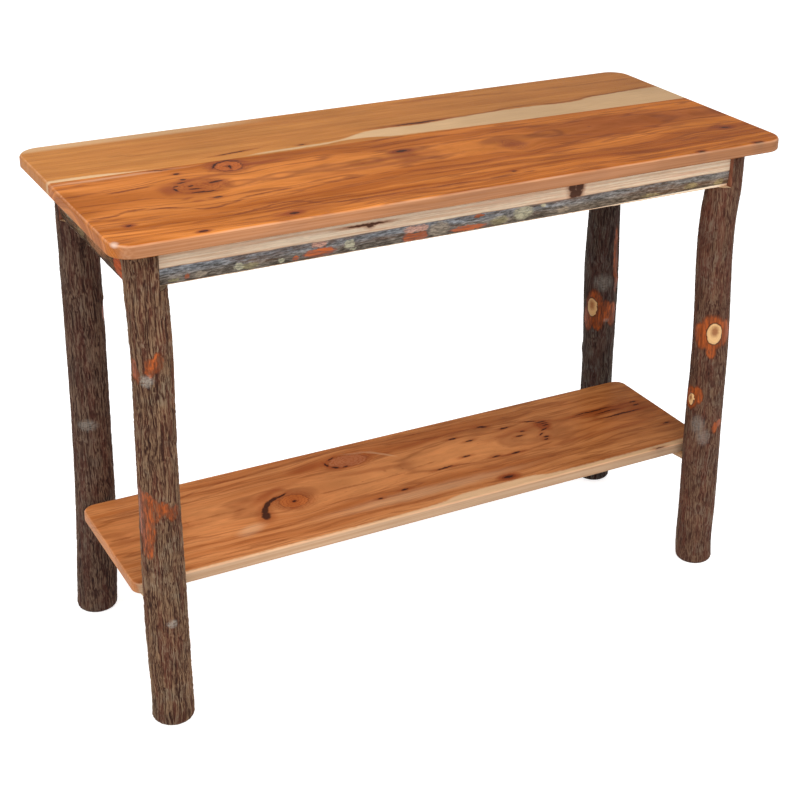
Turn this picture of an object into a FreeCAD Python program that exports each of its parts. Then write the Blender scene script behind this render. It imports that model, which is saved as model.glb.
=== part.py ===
import FreeCAD, Part
import math
import os
import Sketcher

# Rustic hickory table: a glued two-board top, four bark-on pole legs, four rails whose lower edge keeps its
# bark, a plank shelf on two shaved rungs, and the braces, cleats and screws that hold them together.
# X runs along the table, Y from front to back, Z up. The origin is on the floor under the middle.

V = FreeCAD.Vector
Turn = FreeCAD.Rotation

doc = FreeCAD.newDocument("rustic_hickory_table")
sheet = doc.addObject("Spreadsheet::Sheet", "Sizes")

# Driving sizes in millimetres
SIZES = [
    # whole table
    ("table_length", 1067, "end to end over the top"),
    ("table_width", 457, "front to back over the top"),
    ("table_height", 762, "floor to the top's upper face"),
    ("end_overhang", 55, "leg centre to the end of the top"),
    ("side_overhang", 63, "leg centre to the long edge of the top"),
    # top
    ("top_thickness", 19, "thickness of the top boards"),
    ("top_corner_radius", 34, "corner radius in plan"),
    ("top_upper_round", 5, "rounding of the upper edge"),
    ("top_lower_round", 2.5, "rounding of the lower edge"),
    ("back_board_width", 188, "width of the back board at mid length"),
    ("seam_taper", 27.5, "how much wider the back board is at its right end"),
    # legs
    ("leg_diameter", 64, "thickest girth of a pole, over the bark"),
    ("foot_bevel", 7, "bevel round the foot"),
    # rails
    ("long_rail_height", 62.5, "underside of the top to the bottom of a front or back rail"),
    ("end_rail_height", 71, "underside of the top to the bottom of an end rail"),
    ("rail_thickness", 22, "inner face to sawn outer face"),
    ("long_rail_sawn_height", 36.5, "sawn outer face above the bark, front and back"),
    ("long_rail_foot_width", 18, "bare strip along the bottom, front and back"),
    ("end_rail_sawn_height", 56, "sawn outer face above the bark, at the ends"),
    ("end_rail_foot_width", 17, "bare strip along the bottom, at the ends"),
    ("rail_face_proud", 16, "outer face of a rail beyond the leg centre"),
    ("rail_end_setback", 14, "end of a rail short of the leg centre"),
    # shelf
    ("shelf_top_height", 208, "floor to the shelf's upper face"),
    ("shelf_width", 256, "front to back over the shelf"),
    ("shelf_thickness", 18, "thickness of the plank"),
    ("shelf_end_reach", 29, "end of the shelf beyond the leg centre"),
    ("shelf_corner_radius", 20, "corner radius in plan"),
    ("shelf_round", 3.5, "rounding of the shelf's edges"),
    # rungs
    ("rung_diameter", 32, "girth of a rung at its middle"),
    ("rung_tenon_diameter", 19, "round tenon at each end"),
    ("rung_seat_drop", 14, "flat under the shelf above the rung's axis"),
    ("rung_past_centre", 7, "end of a tenon beyond the leg centre"),
    ("rung_shoulder_reach", 47, "start of a tenon short of the leg centre"),
    # corner braces
    ("brace_gap", 0.4, "back face of a brace clear of the leg that leans most"),
    ("brace_thickness", 20, "thickness of a brace"),
    ("brace_height", 42, "height of a brace"),
    ("brace_drop", 8, "top of a brace below the underside of the top"),
    ("brace_screw_reach", 68, "screw to the leg centre, along the rail"),
    ("brace_screw_web", 6, "wood left under a brace screw's head"),
    # cleats
    ("cleat_length", 420, "length of a cleat"),
    ("cleat_depth", 20, "thickness and height of a cleat"),
    ("cleat_screw_pitch", 150, "distance between like screws in a cleat"),
    ("cleat_screw_stagger", 30, "upright screws beside the level ones"),
    # fasteners
    ("lag_diameter", 8, "lag screw shank"),
    ("lag_length", 62, "lag screw under the head"),
    ("lag_head_width", 15, "lag screw head across corners"),
    ("lag_head_height", 5.5, "lag screw head"),
    ("washer_diameter", 22, "washer under a lag screw"),
    ("washer_thickness", 1.6, "washer under a lag screw"),
    ("screw_diameter", 4, "wood screw shank"),
    ("screw_head_diameter", 8, "wood screw head"),
    ("screw_head_height", 3, "wood screw head"),
    ("screw_point_length", 5, "tapered point of a screw"),
    ("long_screw_length", 34, "screws into the top and the shelf"),
    ("rail_screw_length", 34, "screws from a cleat into a rail"),
    ("brace_screw_length", 22, "screws from a brace into a rail"),
    ("shelf_screw_reach", 55, "shelf screw to the middle of the rung"),
    ("shelf_screw_web", 24, "wood between a shelf screw's head and the shelf"),
    ("counterbore_diameter", 10, "sunk hole for a screw head"),
    # working clearances
    ("hole_gap", 0.1, "gap round a screw or tenon in its hole"),
    ("cut_overrun", 20, "how far a cut runs past the wood"),
    ("match_tolerance", 0.01, "closeness that picks an edge"),
]

for row, (name, size, meaning) in enumerate(SIZES, start=1):
    sheet.set(f"A{row}", name)
    sheet.set(f"B{row}", str(size))
    sheet.set(f"C{row}", meaning)
    sheet.setAlias(f"B{row}", name)
doc.recompute()

# Places worked out from the driving sizes
LEG_X = "(Sizes.table_length / 2 - Sizes.end_overhang)"
LEG_Y = "(Sizes.table_width / 2 - Sizes.side_overhang)"
LEG_HEIGHT = "(Sizes.table_height - Sizes.top_thickness)"
RAIL_FLOOR = {kind: f"({LEG_HEIGHT} - Sizes.{kind}_rail_height)" for kind in ("long", "end")}
RAIL_INSET = "(Sizes.rail_thickness - Sizes.rail_face_proud)"
SHELF_UNDERSIDE = "(Sizes.shelf_top_height - Sizes.shelf_thickness)"
RUNG_AXIS_HEIGHT = f"({SHELF_UNDERSIDE} - Sizes.rung_seat_drop)"
BRACE_MID_HEIGHT = f"({LEG_HEIGHT} - Sizes.brace_drop - Sizes.brace_height / 2)"
CLEAT_UNDERSIDE = f"({LEG_HEIGHT} - Sizes.cleat_depth)"
CLEAT_MID = f"({LEG_Y} - {RAIL_INSET} - Sizes.cleat_depth / 2)"
DIAGONAL_SHARE = math.sqrt(0.5)

CORNERS = ("front_left", "front_right", "back_left", "back_right")
RAIL_SIDES = ("front", "back", "left", "right")

# Each pole's own form, from the foot up: heights as shares of the leg's height, girths and sideways lean as
# shares of its diameter
STATION_SHARES = (0, 0.12, 0.27, 0.40, 0.55, 0.70, 0.86, 1)
GIRTH_SHARES = {
    "front_left": (0.966, 0.947, 0.956, 0.919, 0.881, 0.872, 0.881, 0.863),
    "front_right": (0.956, 0.947, 0.952, 0.938, 0.914, 0.9, 0.886, 0.881),
    "back_left": (0.994, 0.994, 0.97, 0.938, 0.928, 0.938, 0.928, 0.909),
    "back_right": (0.938, 0.919, 0.881, 0.9, 0.956, 0.872, 0.872, 0.863),
}
LEAN_X_SHARES = {
    "front_left": (0.047, 0.047, 0.033, 0.037, 0.042, 0.066, 0.061, 0.056),
    "front_right": (-0.033, -0.07, -0.084, -0.094, -0.094, -0.155, -0.155, -0.15),
    "back_left": (-0.075, 0, 0.075, 0.108, 0.136, 0.155, 0.159, 0.164),
    "back_right": (0.084, 0.066, 0.047, 0.037, 0.009, 0, 0, 0),
}
LEAN_Y_SHARES = {
    "front_left": (-0.028, -0.028, -0.019, -0.019, -0.023, -0.037, -0.033, -0.028),
    "front_right": (0.019, 0.037, 0.047, 0.052, 0.052, 0.089, 0.089, 0.084),
    "back_left": (0.042, 0, -0.042, -0.061, -0.075, -0.084, -0.089, -0.089),
    "back_right": (-0.047, -0.037, -0.023, -0.019, -0.005, 0, 0, 0),
}

nodes = []


def signs(name):
    """The signs along X and Y of a corner or side by its name, with 0 where it names no side."""
    words = name.split("_")
    return ("right" in words) - ("left" in words), ("back" in words) - ("front" in words)


def inward_reach_share(corner, station):
    """How far a pole's surface stands inwards along the diagonal, as a share of the leg's diameter."""
    side_x, side_y = signs(corner)
    lean_share = -side_x * LEAN_X_SHARES[corner][station] - side_y * LEAN_Y_SHARES[corner][station]
    return GIRTH_SHARES[corner][station] / 2 + lean_share * DIAGONAL_SHARE


# The braces stand alike in all corners, clear of the pole that reaches furthest inwards at its top
LEG_REACH_SHARE = max(inward_reach_share(corner, station) for corner in CORNERS for station in (-1, -2))
BRACE_BACK = f"(Sizes.leg_diameter * {LEG_REACH_SHARE:.6f} + Sizes.brace_gap)"
BRACE_FRONT = f"({BRACE_BACK} + Sizes.brace_thickness)"
LAG_SEAT = f"({BRACE_FRONT} + Sizes.washer_thickness)"


def value(expression):
    """The number that an expression of the sheet gives."""
    return float(sheet.evalExpression(expression))


def signed(sign, expression):
    """The expression with the sign of its side of the table."""
    return expression if sign > 0 else f"-1 * {expression}"


def put(thing, x="0", y="0", z="0", turn=None):
    """Places a thing at three expressions, turned if need be."""
    thing.Placement = FreeCAD.Placement(V(), turn or Turn())
    for axis, expression in zip("xyz", (x, y, z)):
        if expression != "0":
            thing.setExpression(f"Placement.Base.{axis}", expression)


def new_body(label):
    body = doc.addObject("PartDesign::Body", label)
    body.Label = label
    nodes.append(body)
    return body


def base_plane(body, role):
    return next(feature for feature in body.Origin.OriginFeatures if feature.Role == role)


def new_sketch(body, name, role="XY_Plane", x="0", y="0", z="0"):
    """An empty sketch on one of the body's own planes, shifted by three expressions."""
    sketch = body.newObject("Sketcher::SketchObject", f"{body.Label}_{name}")
    sketch.AttachmentSupport = [(base_plane(body, role), "")]
    sketch.MapMode = "FlatFace"
    for axis, expression in zip("xyz", (x, y, z)):
        if expression != "0":
            sketch.setExpression(f"AttachmentOffset.Base.{axis}", expression)
    return sketch


def pin_point(sketch, geometry, end, label, place):
    """Ties one end of a line or arc to a place given by two expressions."""
    for kind, expression in zip(("DistanceX", "DistanceY"), place):
        name = f"{label}_{kind[-1].lower()}"
        index = sketch.addConstraint(
            Sketcher.Constraint(kind, -1, 1, geometry, end, value(expression))
        )
        sketch.renameConstraint(index, name)
        sketch.setExpression(f"Constraints.{name}", expression)


def outline(sketch, places, bulges=None):
    """A closed outline through places given by expressions. A side in bulges is an arc through that point."""
    bulges = bulges or {}
    points = [V(value(x), value(y), 0) for x, y in places]
    count = len(points)
    for side in range(count):
        start, end = points[side], points[(side + 1) % count]
        if side in bulges:
            middle = V(value(bulges[side][0]), value(bulges[side][1]), 0)
            sketch.addGeometry(Part.Arc(start, middle, end), False)
        else:
            sketch.addGeometry(Part.LineSegment(start, end), False)
    for side in range(count):
        if side in bulges:
            pin_point(sketch, side, 1, f"arc_start_{side}", places[side])
            pin_point(sketch, side, 2, f"arc_end_{side}", places[(side + 1) % count])
        elif (side - 1) % count in bulges:
            sketch.addConstraint(Sketcher.Constraint("Coincident", (side - 1) % count, 2, side, 1))
        else:
            pin_point(sketch, side, 1, f"corner_{side}", places[side])
        if side not in bulges:
            sketch.addConstraint(Sketcher.Constraint("Coincident", side, 2, (side + 1) % count, 1))


def pad(body, sketch, length):
    feature = body.newObject("PartDesign::Pad", f"{body.Label}_pad")
    feature.Profile = sketch
    feature.setExpression("Length", length)
    doc.recompute()
    return feature


def revolve(body, sketch):
    feature = body.newObject("PartDesign::Revolution", f"{body.Label}_turned")
    feature.Profile = sketch
    feature.ReferenceAxis = (sketch, ["V_Axis"])
    feature.Angle = 360
    doc.recompute()
    return feature


def round_edges(body, base, name, radius, wanted):
    """Fillets the edges of the base feature that pass the test."""
    feature = body.newObject("PartDesign::Fillet", f"{body.Label}_{name}")
    names = [f"Edge{n}" for n, edge in enumerate(base.Shape.Edges, start=1) if wanted(edge)]
    feature.Base = (base, names)
    feature.setExpression("Radius", radius)
    doc.recompute()
    return feature


def bore(body, name, diameter, depth, x="0", y="0", z="0", axis=V(0, 0, 1)):
    """A round hole that starts at a place and runs along an axis."""
    hole = body.newObject("PartDesign::SubtractiveCylinder", f"{body.Label}_{name}")
    put(hole, x, y, z, Turn(V(0, 0, 1), axis))
    hole.setExpression("Radius", f"{diameter} / 2 + Sizes.hole_gap")
    hole.setExpression("Height", depth)
    return hole


def notch(body, name, x, y, z, length, width, height):
    """A square cut with its lowest corner at a place."""
    cut = body.newObject("PartDesign::SubtractiveBox", f"{body.Label}_{name}")
    put(cut, x, y, z)
    cut.setExpression("Length", length)
    cut.setExpression("Width", width)
    cut.setExpression("Height", height)
    return cut


def inward_span(sign, start, size):
    """Lowest value of a span that begins at start and runs towards the middle of the table."""
    return start if sign < 0 else f"-1 * {start} - {size}"


# Top boards

TOP_SEAM = {
    -1: "(Sizes.table_width / 2 - Sizes.back_board_width + Sizes.seam_taper / 2)",
    1: "(Sizes.table_width / 2 - Sizes.back_board_width - Sizes.seam_taper / 2)",
}


def on_seam(edge):
    """True for an edge that lies along the glued joint of the top."""
    middle = edge.BoundBox.Center
    return abs(middle.x) < value("Sizes.table_length / 4") and abs(middle.y) < value("Sizes.table_width / 4")


def outer_corner(edge):
    """True for an upright edge at an outer corner of the top."""
    box = edge.BoundBox
    near = value("Sizes.match_tolerance")
    at_end = abs(abs(box.Center.x) - value("Sizes.table_length / 2")) < near
    at_side = abs(abs(box.Center.y) - value("Sizes.table_width / 2")) < near
    return at_end and at_side and box.ZLength > near


def level_edge(height):
    """A test for the edges at one height that are not along the glued joint."""
    def wanted(edge):
        near = value("Sizes.match_tolerance")
        box = edge.BoundBox
        return abs(box.ZMin - height) < near and abs(box.ZMax - height) < near and not on_seam(edge)
    return wanted


def top_board(label, side):
    """One board of the top: side is 1 for the back board and -1 for the front board."""
    body = new_body(label)
    outer = signed(side, "(Sizes.table_width / 2)")
    end = "(Sizes.table_length / 2)"
    corners = [
        (signed(-1, end), outer),
        (end, outer),
        (end, TOP_SEAM[1]),
        (signed(-1, end), TOP_SEAM[-1]),
    ]
    sketch = new_sketch(body, "outline")
    outline(sketch, corners)
    board = pad(body, sketch, "Sizes.top_thickness")
    board = round_edges(body, board, "corners", "Sizes.top_corner_radius", outer_corner)
    thickness = value("Sizes.top_thickness")
    board = round_edges(body, board, "upper_round", "Sizes.top_upper_round", level_edge(thickness))
    board = round_edges(body, board, "lower_round", "Sizes.top_lower_round", level_edge(0))
    for number in (-1, 0, 1):
        bore(
            body,
            f"pilot_{number + 2}",
            "Sizes.screw_diameter",
            "Sizes.long_screw_length - Sizes.cleat_depth",
            x=f"{number} * Sizes.cleat_screw_pitch + Sizes.cleat_screw_stagger",
            y=signed(side, CLEAT_MID),
        )
    put(body, z=LEG_HEIGHT)
    return body


top_board("top_board_back", 1)
top_board("top_board_front", -1)


# Legs

def leg(corner):
    """A bark-on pole with notches for two rails, a mortise for the rung and a hole for the lag screw."""
    side_x, side_y = signs(corner)
    body = new_body(f"leg_{corner}")
    sections = []
    shares = zip(STATION_SHARES, LEAN_X_SHARES[corner], LEAN_Y_SHARES[corner], GIRTH_SHARES[corner])
    for number, (height_share, x_share, y_share, girth_share) in enumerate(shares):
        section = new_sketch(
            body,
            f"ring_{number}",
            x=f"Sizes.leg_diameter * {x_share}",
            y=f"Sizes.leg_diameter * {y_share}",
            z=f"{LEG_HEIGHT} * {height_share}",
        )
        radius = f"Sizes.leg_diameter / 2 * {girth_share}"
        section.addGeometry(Part.Circle(V(), V(0, 0, 1), value(radius)), False)
        section.addConstraint(Sketcher.Constraint("Coincident", 0, 3, -1, 1))
        index = section.addConstraint(Sketcher.Constraint("Radius", 0, value(radius)))
        section.renameConstraint(index, "girth")
        section.setExpression("Constraints.girth", radius)
        sections.append(section)
    pole = body.newObject("PartDesign::AdditiveLoft", f"{body.Label}_pole")
    pole.Profile = sections[0]
    pole.Sections = sections[1:]
    doc.recompute()

    # the cutting outline is drawn from a level one bevel below the floor
    foot_radius = f"(Sizes.leg_diameter / 2 * {GIRTH_SHARES[corner][0]})"
    bevel = new_sketch(
        body,
        "bevel",
        role="XZ_Plane",
        x=f"Sizes.leg_diameter * {LEAN_X_SHARES[corner][0]}",
        y="-1 * Sizes.foot_bevel",
        z=f"Sizes.leg_diameter * {-LEAN_Y_SHARES[corner][0]}",
    )
    outline(
        bevel,
        [
            (f"{foot_radius} - 2 * Sizes.foot_bevel", "0"),
            (f"{foot_radius} + Sizes.foot_bevel", "0"),
            (f"{foot_radius} + Sizes.foot_bevel", "3 * Sizes.foot_bevel"),
        ],
    )
    groove = body.newObject("PartDesign::Groove", f"{body.Label}_foot_bevel")
    groove.Profile = bevel
    groove.ReferenceAxis = (bevel, ["V_Axis"])
    groove.Angle = 360
    doc.recompute()

    reach = "Sizes.leg_diameter"
    past_face = f"{RAIL_INSET} + {reach}"
    notch(
        body,
        "long_rail_notch",
        inward_span(side_x, "Sizes.rail_end_setback", reach),
        f"-1 * {reach}" if side_y < 0 else f"-1 * {RAIL_INSET}",
        RAIL_FLOOR["long"],
        reach,
        past_face,
        "Sizes.long_rail_height + Sizes.cut_overrun",
    )
    notch(
        body,
        "end_rail_notch",
        f"-1 * {reach}" if side_x < 0 else f"-1 * {RAIL_INSET}",
        inward_span(side_y, "Sizes.rail_end_setback", reach),
        RAIL_FLOOR["end"],
        past_face,
        reach,
        "Sizes.end_rail_height + Sizes.cut_overrun",
    )
    bore(
        body,
        "rung_mortise",
        "Sizes.rung_tenon_diameter",
        reach,
        y=signed(side_y, "Sizes.rung_past_centre"),
        z=RUNG_AXIS_HEIGHT,
        axis=V(0, -side_y, 0),
    )
    tip = f"({LAG_SEAT} - Sizes.lag_length)"
    bore(
        body,
        "lag_pilot",
        "Sizes.lag_diameter",
        reach,
        x=f"{-side_x * DIAGONAL_SHARE:.9f} * {tip}",
        y=f"{-side_y * DIAGONAL_SHARE:.9f} * {tip}",
        z=BRACE_MID_HEIGHT,
        axis=V(-side_x, -side_y, 0),
    )
    put(body, signed(side_x, LEG_X), signed(side_y, LEG_Y))
    return body


for corner in CORNERS:
    leg(corner)


# Rails

def rail(side):
    """A board on edge, sawn on its upper outer face, with the rounded bark left below it."""
    out_x, out_y = signs(side)
    kind = "long" if out_y else "end"
    half, reach = (LEG_X, LEG_Y) if kind == "long" else (LEG_Y, LEG_X)
    height = f"Sizes.{kind}_rail_height"
    foot_width = f"Sizes.{kind}_rail_foot_width"
    body = new_body(f"rail_{side}")
    length = f"(2 * ({half} - Sizes.rail_end_setback))"
    bark_top = f"({height} - Sizes.{kind}_rail_sawn_height)"
    bark_depth = f"(Sizes.rail_thickness - {foot_width})"
    # radius of the bark's curve, upright where it meets the sawn face
    radius = f"(({bark_depth}^2 + {bark_top}^2) / (2 * {bark_depth}))"
    half_angle = f"(asin({bark_top} / {radius}) / 2)"
    middle = (
        f"Sizes.rail_thickness - {radius} * (1 - cos({half_angle}))",
        f"{bark_top} - {radius} * sin({half_angle})",
    )
    sketch = new_sketch(body, "section", z=f"{length} / -2")
    outline(
        sketch,
        [
            ("0", "0"),
            (foot_width, "0"),
            ("Sizes.rail_thickness", bark_top),
            ("Sizes.rail_thickness", height),
            ("0", height),
        ],
        bulges={1: middle},
    )
    index = sketch.addConstraint(Sketcher.Constraint("Radius", 1, value(radius)))
    sketch.renameConstraint(index, "bark_radius")
    sketch.setExpression("Constraints.bark_radius", radius)
    pad(body, sketch, length)
    for number in (-1, 1):
        bore(
            body,
            f"brace_pilot_{(number + 3) // 2}",
            "Sizes.screw_diameter",
            "Sizes.brace_screw_length - Sizes.brace_screw_web",
            y=f"{BRACE_MID_HEIGHT} - {RAIL_FLOOR[kind]}",
            z=f"{number} * ({half} - Sizes.brace_screw_reach)",
            axis=V(1, 0, 0),
        )
    if kind == "long":
        for number in (-1, 0, 1):
            bore(
                body,
                f"cleat_pilot_{number + 2}",
                "Sizes.screw_diameter",
                "Sizes.rail_screw_length - Sizes.cleat_depth",
                y=f"{height} - Sizes.cleat_depth / 2",
                z=f"{number} * Sizes.cleat_screw_pitch",
                axis=V(1, 0, 0),
            )
    facing = Turn(V(0, 0, 1), math.degrees(math.atan2(out_y, out_x)))
    upright = facing.multiply(Turn(V(1, 0, 0), 90))
    inner = f"({reach} - {RAIL_INSET})"
    put(
        body,
        signed(out_x, inner) if out_x else "0",
        signed(out_y, inner) if out_y else "0",
        RAIL_FLOOR[kind],
        upright,
    )
    return body


for side in RAIL_SIDES:
    rail(side)


# Corner braces

def brace(corner):
    """A mitred block across a corner of the rail frame, drawn along the diagonal that leads inwards."""
    side_x, side_y = signs(corner)
    body = new_body(f"corner_brace_{corner}")
    half_back = f"({BRACE_BACK} - {1 / DIAGONAL_SHARE:.9f} * {RAIL_INSET})"
    half_front = f"({BRACE_FRONT} - {1 / DIAGONAL_SHARE:.9f} * {RAIL_INSET})"
    sketch = new_sketch(body, "outline")
    outline(
        sketch,
        [
            (BRACE_BACK, signed(-1, half_back)),
            (BRACE_FRONT, signed(-1, half_front)),
            (BRACE_FRONT, half_front),
            (BRACE_BACK, half_back),
        ],
    )
    pad(body, sketch, "Sizes.brace_height")
    bore(
        body,
        "lag_hole",
        "Sizes.lag_diameter",
        "Sizes.brace_thickness + 2 * Sizes.cut_overrun",
        x=f"{BRACE_BACK} - Sizes.cut_overrun",
        z="Sizes.brace_height / 2",
        axis=V(1, 0, 0),
    )
    # a screw goes square into each rail; along and across are its places seen from the leg centre
    across = f"({RAIL_INSET} + Sizes.brace_screw_web)"
    for hand in (-1, 1):
        x = f"{DIAGONAL_SHARE:.9f} * (Sizes.brace_screw_reach + {across})"
        y = f"{hand * DIAGONAL_SHARE:.9f} * (Sizes.brace_screw_reach - {across})"
        towards_rail = V(-1, hand, 0)
        bore(
            body,
            f"head_pocket_{(hand + 3) // 2}",
            "Sizes.counterbore_diameter",
            "Sizes.brace_thickness + Sizes.cut_overrun",
            x=x,
            y=y,
            z="Sizes.brace_height / 2",
            axis=V(1, -hand, 0),
        )
        bore(
            body,
            f"screw_hole_{(hand + 3) // 2}",
            "Sizes.screw_diameter",
            "Sizes.brace_screw_web + Sizes.cut_overrun",
            x=x,
            y=y,
            z="Sizes.brace_height / 2",
            axis=towards_rail,
        )
    angle = math.degrees(math.atan2(-side_y, -side_x))
    put(
        body,
        signed(side_x, LEG_X),
        signed(side_y, LEG_Y),
        f"{BRACE_MID_HEIGHT} - Sizes.brace_height / 2",
        Turn(V(0, 0, 1), angle),
    )
    return body


for corner in CORNERS:
    brace(corner)


# Cleats that hold the top down

def cleat(side):
    """A strip inside a long rail, screwed level into the rail and upwards into the top."""
    body = new_body(f"top_cleat_{side}")
    toward_rail = -1 if side == "front" else 1
    half_length, half_depth = "(Sizes.cleat_length / 2)", "(Sizes.cleat_depth / 2)"
    sketch = new_sketch(body, "outline")
    outline(
        sketch,
        [
            (signed(-1, half_length), signed(-1, half_depth)),
            (half_length, signed(-1, half_depth)),
            (half_length, half_depth),
            (signed(-1, half_length), half_depth),
        ],
    )
    pad(body, sketch, "Sizes.cleat_depth")
    for number in (-1, 0, 1):
        bore(
            body,
            f"level_hole_{number + 2}",
            "Sizes.screw_diameter",
            "Sizes.cleat_depth + 2 * Sizes.cut_overrun",
            x=f"{number} * Sizes.cleat_screw_pitch",
            y=signed(-toward_rail, f"({half_depth} + Sizes.cut_overrun)"),
            z=half_depth,
            axis=V(0, toward_rail, 0),
        )
        bore(
            body,
            f"upright_hole_{number + 2}",
            "Sizes.screw_diameter",
            "Sizes.cleat_depth + 2 * Sizes.cut_overrun",
            x=f"{number} * Sizes.cleat_screw_pitch + Sizes.cleat_screw_stagger",
            z="-1 * Sizes.cut_overrun",
        )
    put(body, y=signed(toward_rail, CLEAT_MID), z=CLEAT_UNDERSIDE)
    return body


for side in ("front", "back"):
    cleat(side)


# Shelf

SHELF_HALF = f"({LEG_X} + Sizes.shelf_end_reach)"


def shelf():
    """The plank between the legs, with pilot holes for the screws that come up through the rungs."""
    body = new_body("shelf_board")
    half_width = "(Sizes.shelf_width / 2)"
    sketch = new_sketch(body, "outline")
    outline(
        sketch,
        [
            (signed(-1, SHELF_HALF), signed(-1, half_width)),
            (SHELF_HALF, signed(-1, half_width)),
            (SHELF_HALF, half_width),
            (signed(-1, SHELF_HALF), half_width),
        ],
    )
    board = pad(body, sketch, "Sizes.shelf_thickness")
    near = value("Sizes.match_tolerance")
    board = round_edges(
        body, board, "corners", "Sizes.shelf_corner_radius", lambda edge: edge.BoundBox.ZLength > near
    )
    board = round_edges(
        body, board, "edge_round", "Sizes.shelf_round", lambda edge: edge.BoundBox.ZLength < near
    )
    for side_x in (-1, 1):
        for side_y in (-1, 1):
            bore(
                body,
                f"pilot_{(side_x + 3) // 2}_{(side_y + 3) // 2}",
                "Sizes.screw_diameter",
                "Sizes.long_screw_length - Sizes.shelf_screw_web",
                x=signed(side_x, LEG_X),
                y=f"{side_y} * Sizes.shelf_screw_reach",
            )
    put(body, z=SHELF_UNDERSIDE)
    return body


shelf()


# Shelf rungs

def rung(side, side_x):
    """A shaved rung, barrelled between its tenons, with a flat for the shelf."""
    body = new_body(f"shelf_rung_{side}")
    half = f"({LEG_Y} + Sizes.rung_past_centre)"
    shoulder = f"({LEG_Y} - Sizes.rung_shoulder_reach)"
    tenon = "(Sizes.rung_tenon_diameter / 2)"
    sketch = new_sketch(body, "section")
    outline(
        sketch,
        [
            ("0", signed(-1, half)),
            (tenon, signed(-1, half)),
            (tenon, signed(-1, shoulder)),
            (tenon, shoulder),
            (tenon, half),
            ("0", half),
        ],
        bulges={2: ("Sizes.rung_diameter / 2", "0")},
    )
    swell = f"(Sizes.rung_diameter / 2 - {tenon})"
    radius = f"(({shoulder}^2 + {swell}^2) / (2 * {swell}))"
    index = sketch.addConstraint(Sketcher.Constraint("Radius", 2, value(radius)))
    sketch.renameConstraint(index, "barrel_radius")
    sketch.setExpression("Constraints.barrel_radius", radius)
    revolve(body, sketch)
    notch(
        body,
        "shelf_seat",
        "Sizes.rung_diameter / -2",
        signed(-1, half),
        "Sizes.rung_seat_drop",
        "Sizes.rung_diameter",
        f"2 * {half}",
        "Sizes.rung_diameter",
    )
    for side_y in (-1, 1):
        bore(
            body,
            f"head_pocket_{(side_y + 3) // 2}",
            "Sizes.counterbore_diameter",
            "Sizes.rung_diameter",
            y=f"{side_y} * Sizes.shelf_screw_reach",
            z="Sizes.rung_seat_drop - Sizes.shelf_screw_web",
            axis=V(0, 0, -1),
        )
        bore(
            body,
            f"screw_hole_{(side_y + 3) // 2}",
            "Sizes.screw_diameter",
            "Sizes.shelf_screw_web + Sizes.cut_overrun",
            y=f"{side_y} * Sizes.shelf_screw_reach",
            z="Sizes.rung_seat_drop - Sizes.shelf_screw_web",
        )
    put(body, signed(side_x, LEG_X), z=RUNG_AXIS_HEIGHT)
    return body


rung("left", -1)
rung("right", 1)


# Fasteners

def primitive(kind, name, z="0", **sizes):
    """A Part primitive on the Z axis with its sizes bound to expressions."""
    thing = doc.addObject(f"Part::{kind}", name)
    put(thing, z=z)
    for size, expression in sizes.items():
        thing.setExpression(size, expression)
    return thing


def fused(name, parts):
    whole = doc.addObject("Part::MultiFuse", name)
    whole.Shapes = parts
    return whole


def wood_screw(name, length):
    """A wood screw that is driven along +Z, its head below the origin."""
    shank = primitive(
        "Cylinder",
        f"{name}_shank",
        Radius="Sizes.screw_diameter / 2",
        Height=f"{length} - Sizes.screw_point_length",
    )
    point = primitive(
        "Cone",
        f"{name}_point",
        z=f"{length} - Sizes.screw_point_length",
        Radius1="Sizes.screw_diameter / 2",
        Radius2="Sizes.screw_diameter / 12",
        Height="Sizes.screw_point_length",
    )
    head = primitive(
        "Cone",
        f"{name}_head",
        z="-1 * Sizes.screw_head_height",
        Radius1="Sizes.screw_head_diameter / 3",
        Radius2="Sizes.screw_head_diameter / 2",
        Height="Sizes.screw_head_height",
    )
    return fused(name, [head, shank, point])


def lag_screw(name):
    """A hexagon-headed lag screw that is driven along +Z."""
    shank = primitive(
        "Cylinder",
        f"{name}_shank",
        Radius="Sizes.lag_diameter / 2",
        Height="Sizes.lag_length - Sizes.screw_point_length",
    )
    point = primitive(
        "Cone",
        f"{name}_point",
        z="Sizes.lag_length - Sizes.screw_point_length",
        Radius1="Sizes.lag_diameter / 2",
        Radius2="Sizes.lag_diameter / 12",
        Height="Sizes.screw_point_length",
    )
    head = primitive(
        "Prism",
        f"{name}_head",
        z="-1 * Sizes.lag_head_height",
        Circumradius="Sizes.lag_head_width / 2",
        Height="Sizes.lag_head_height",
    )
    head.Polygon = 6
    return fused(name, [head, shank, point])


def washer(name):
    """A flat washer that lies under the head, from the origin along +Z."""
    disc = primitive(
        "Cylinder",
        f"{name}_disc",
        Radius="Sizes.washer_diameter / 2",
        Height="Sizes.washer_thickness",
    )
    hole = primitive(
        "Cylinder",
        f"{name}_hole",
        z="-1 * Sizes.cut_overrun",
        Radius="Sizes.lag_diameter / 2 + Sizes.hole_gap",
        Height="Sizes.washer_thickness + 2 * Sizes.cut_overrun",
    )
    ring = doc.addObject("Part::Cut", name)
    ring.Base = disc
    ring.Tool = hole
    return ring


def group(label, members):
    """Like fasteners as separate solids under one name."""
    whole = doc.addObject("Part::Compound", label)
    whole.Label = label
    whole.Links = members
    nodes.append(whole)


def inward_place(side_x, side_y, x_reach, y_reach):
    """A place that lies inwards of a leg centre by two expressions."""
    x = f"{side_x} * ({LEG_X} - {x_reach})"
    y = f"{side_y} * ({LEG_Y} - {y_reach})"
    return x, y


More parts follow.
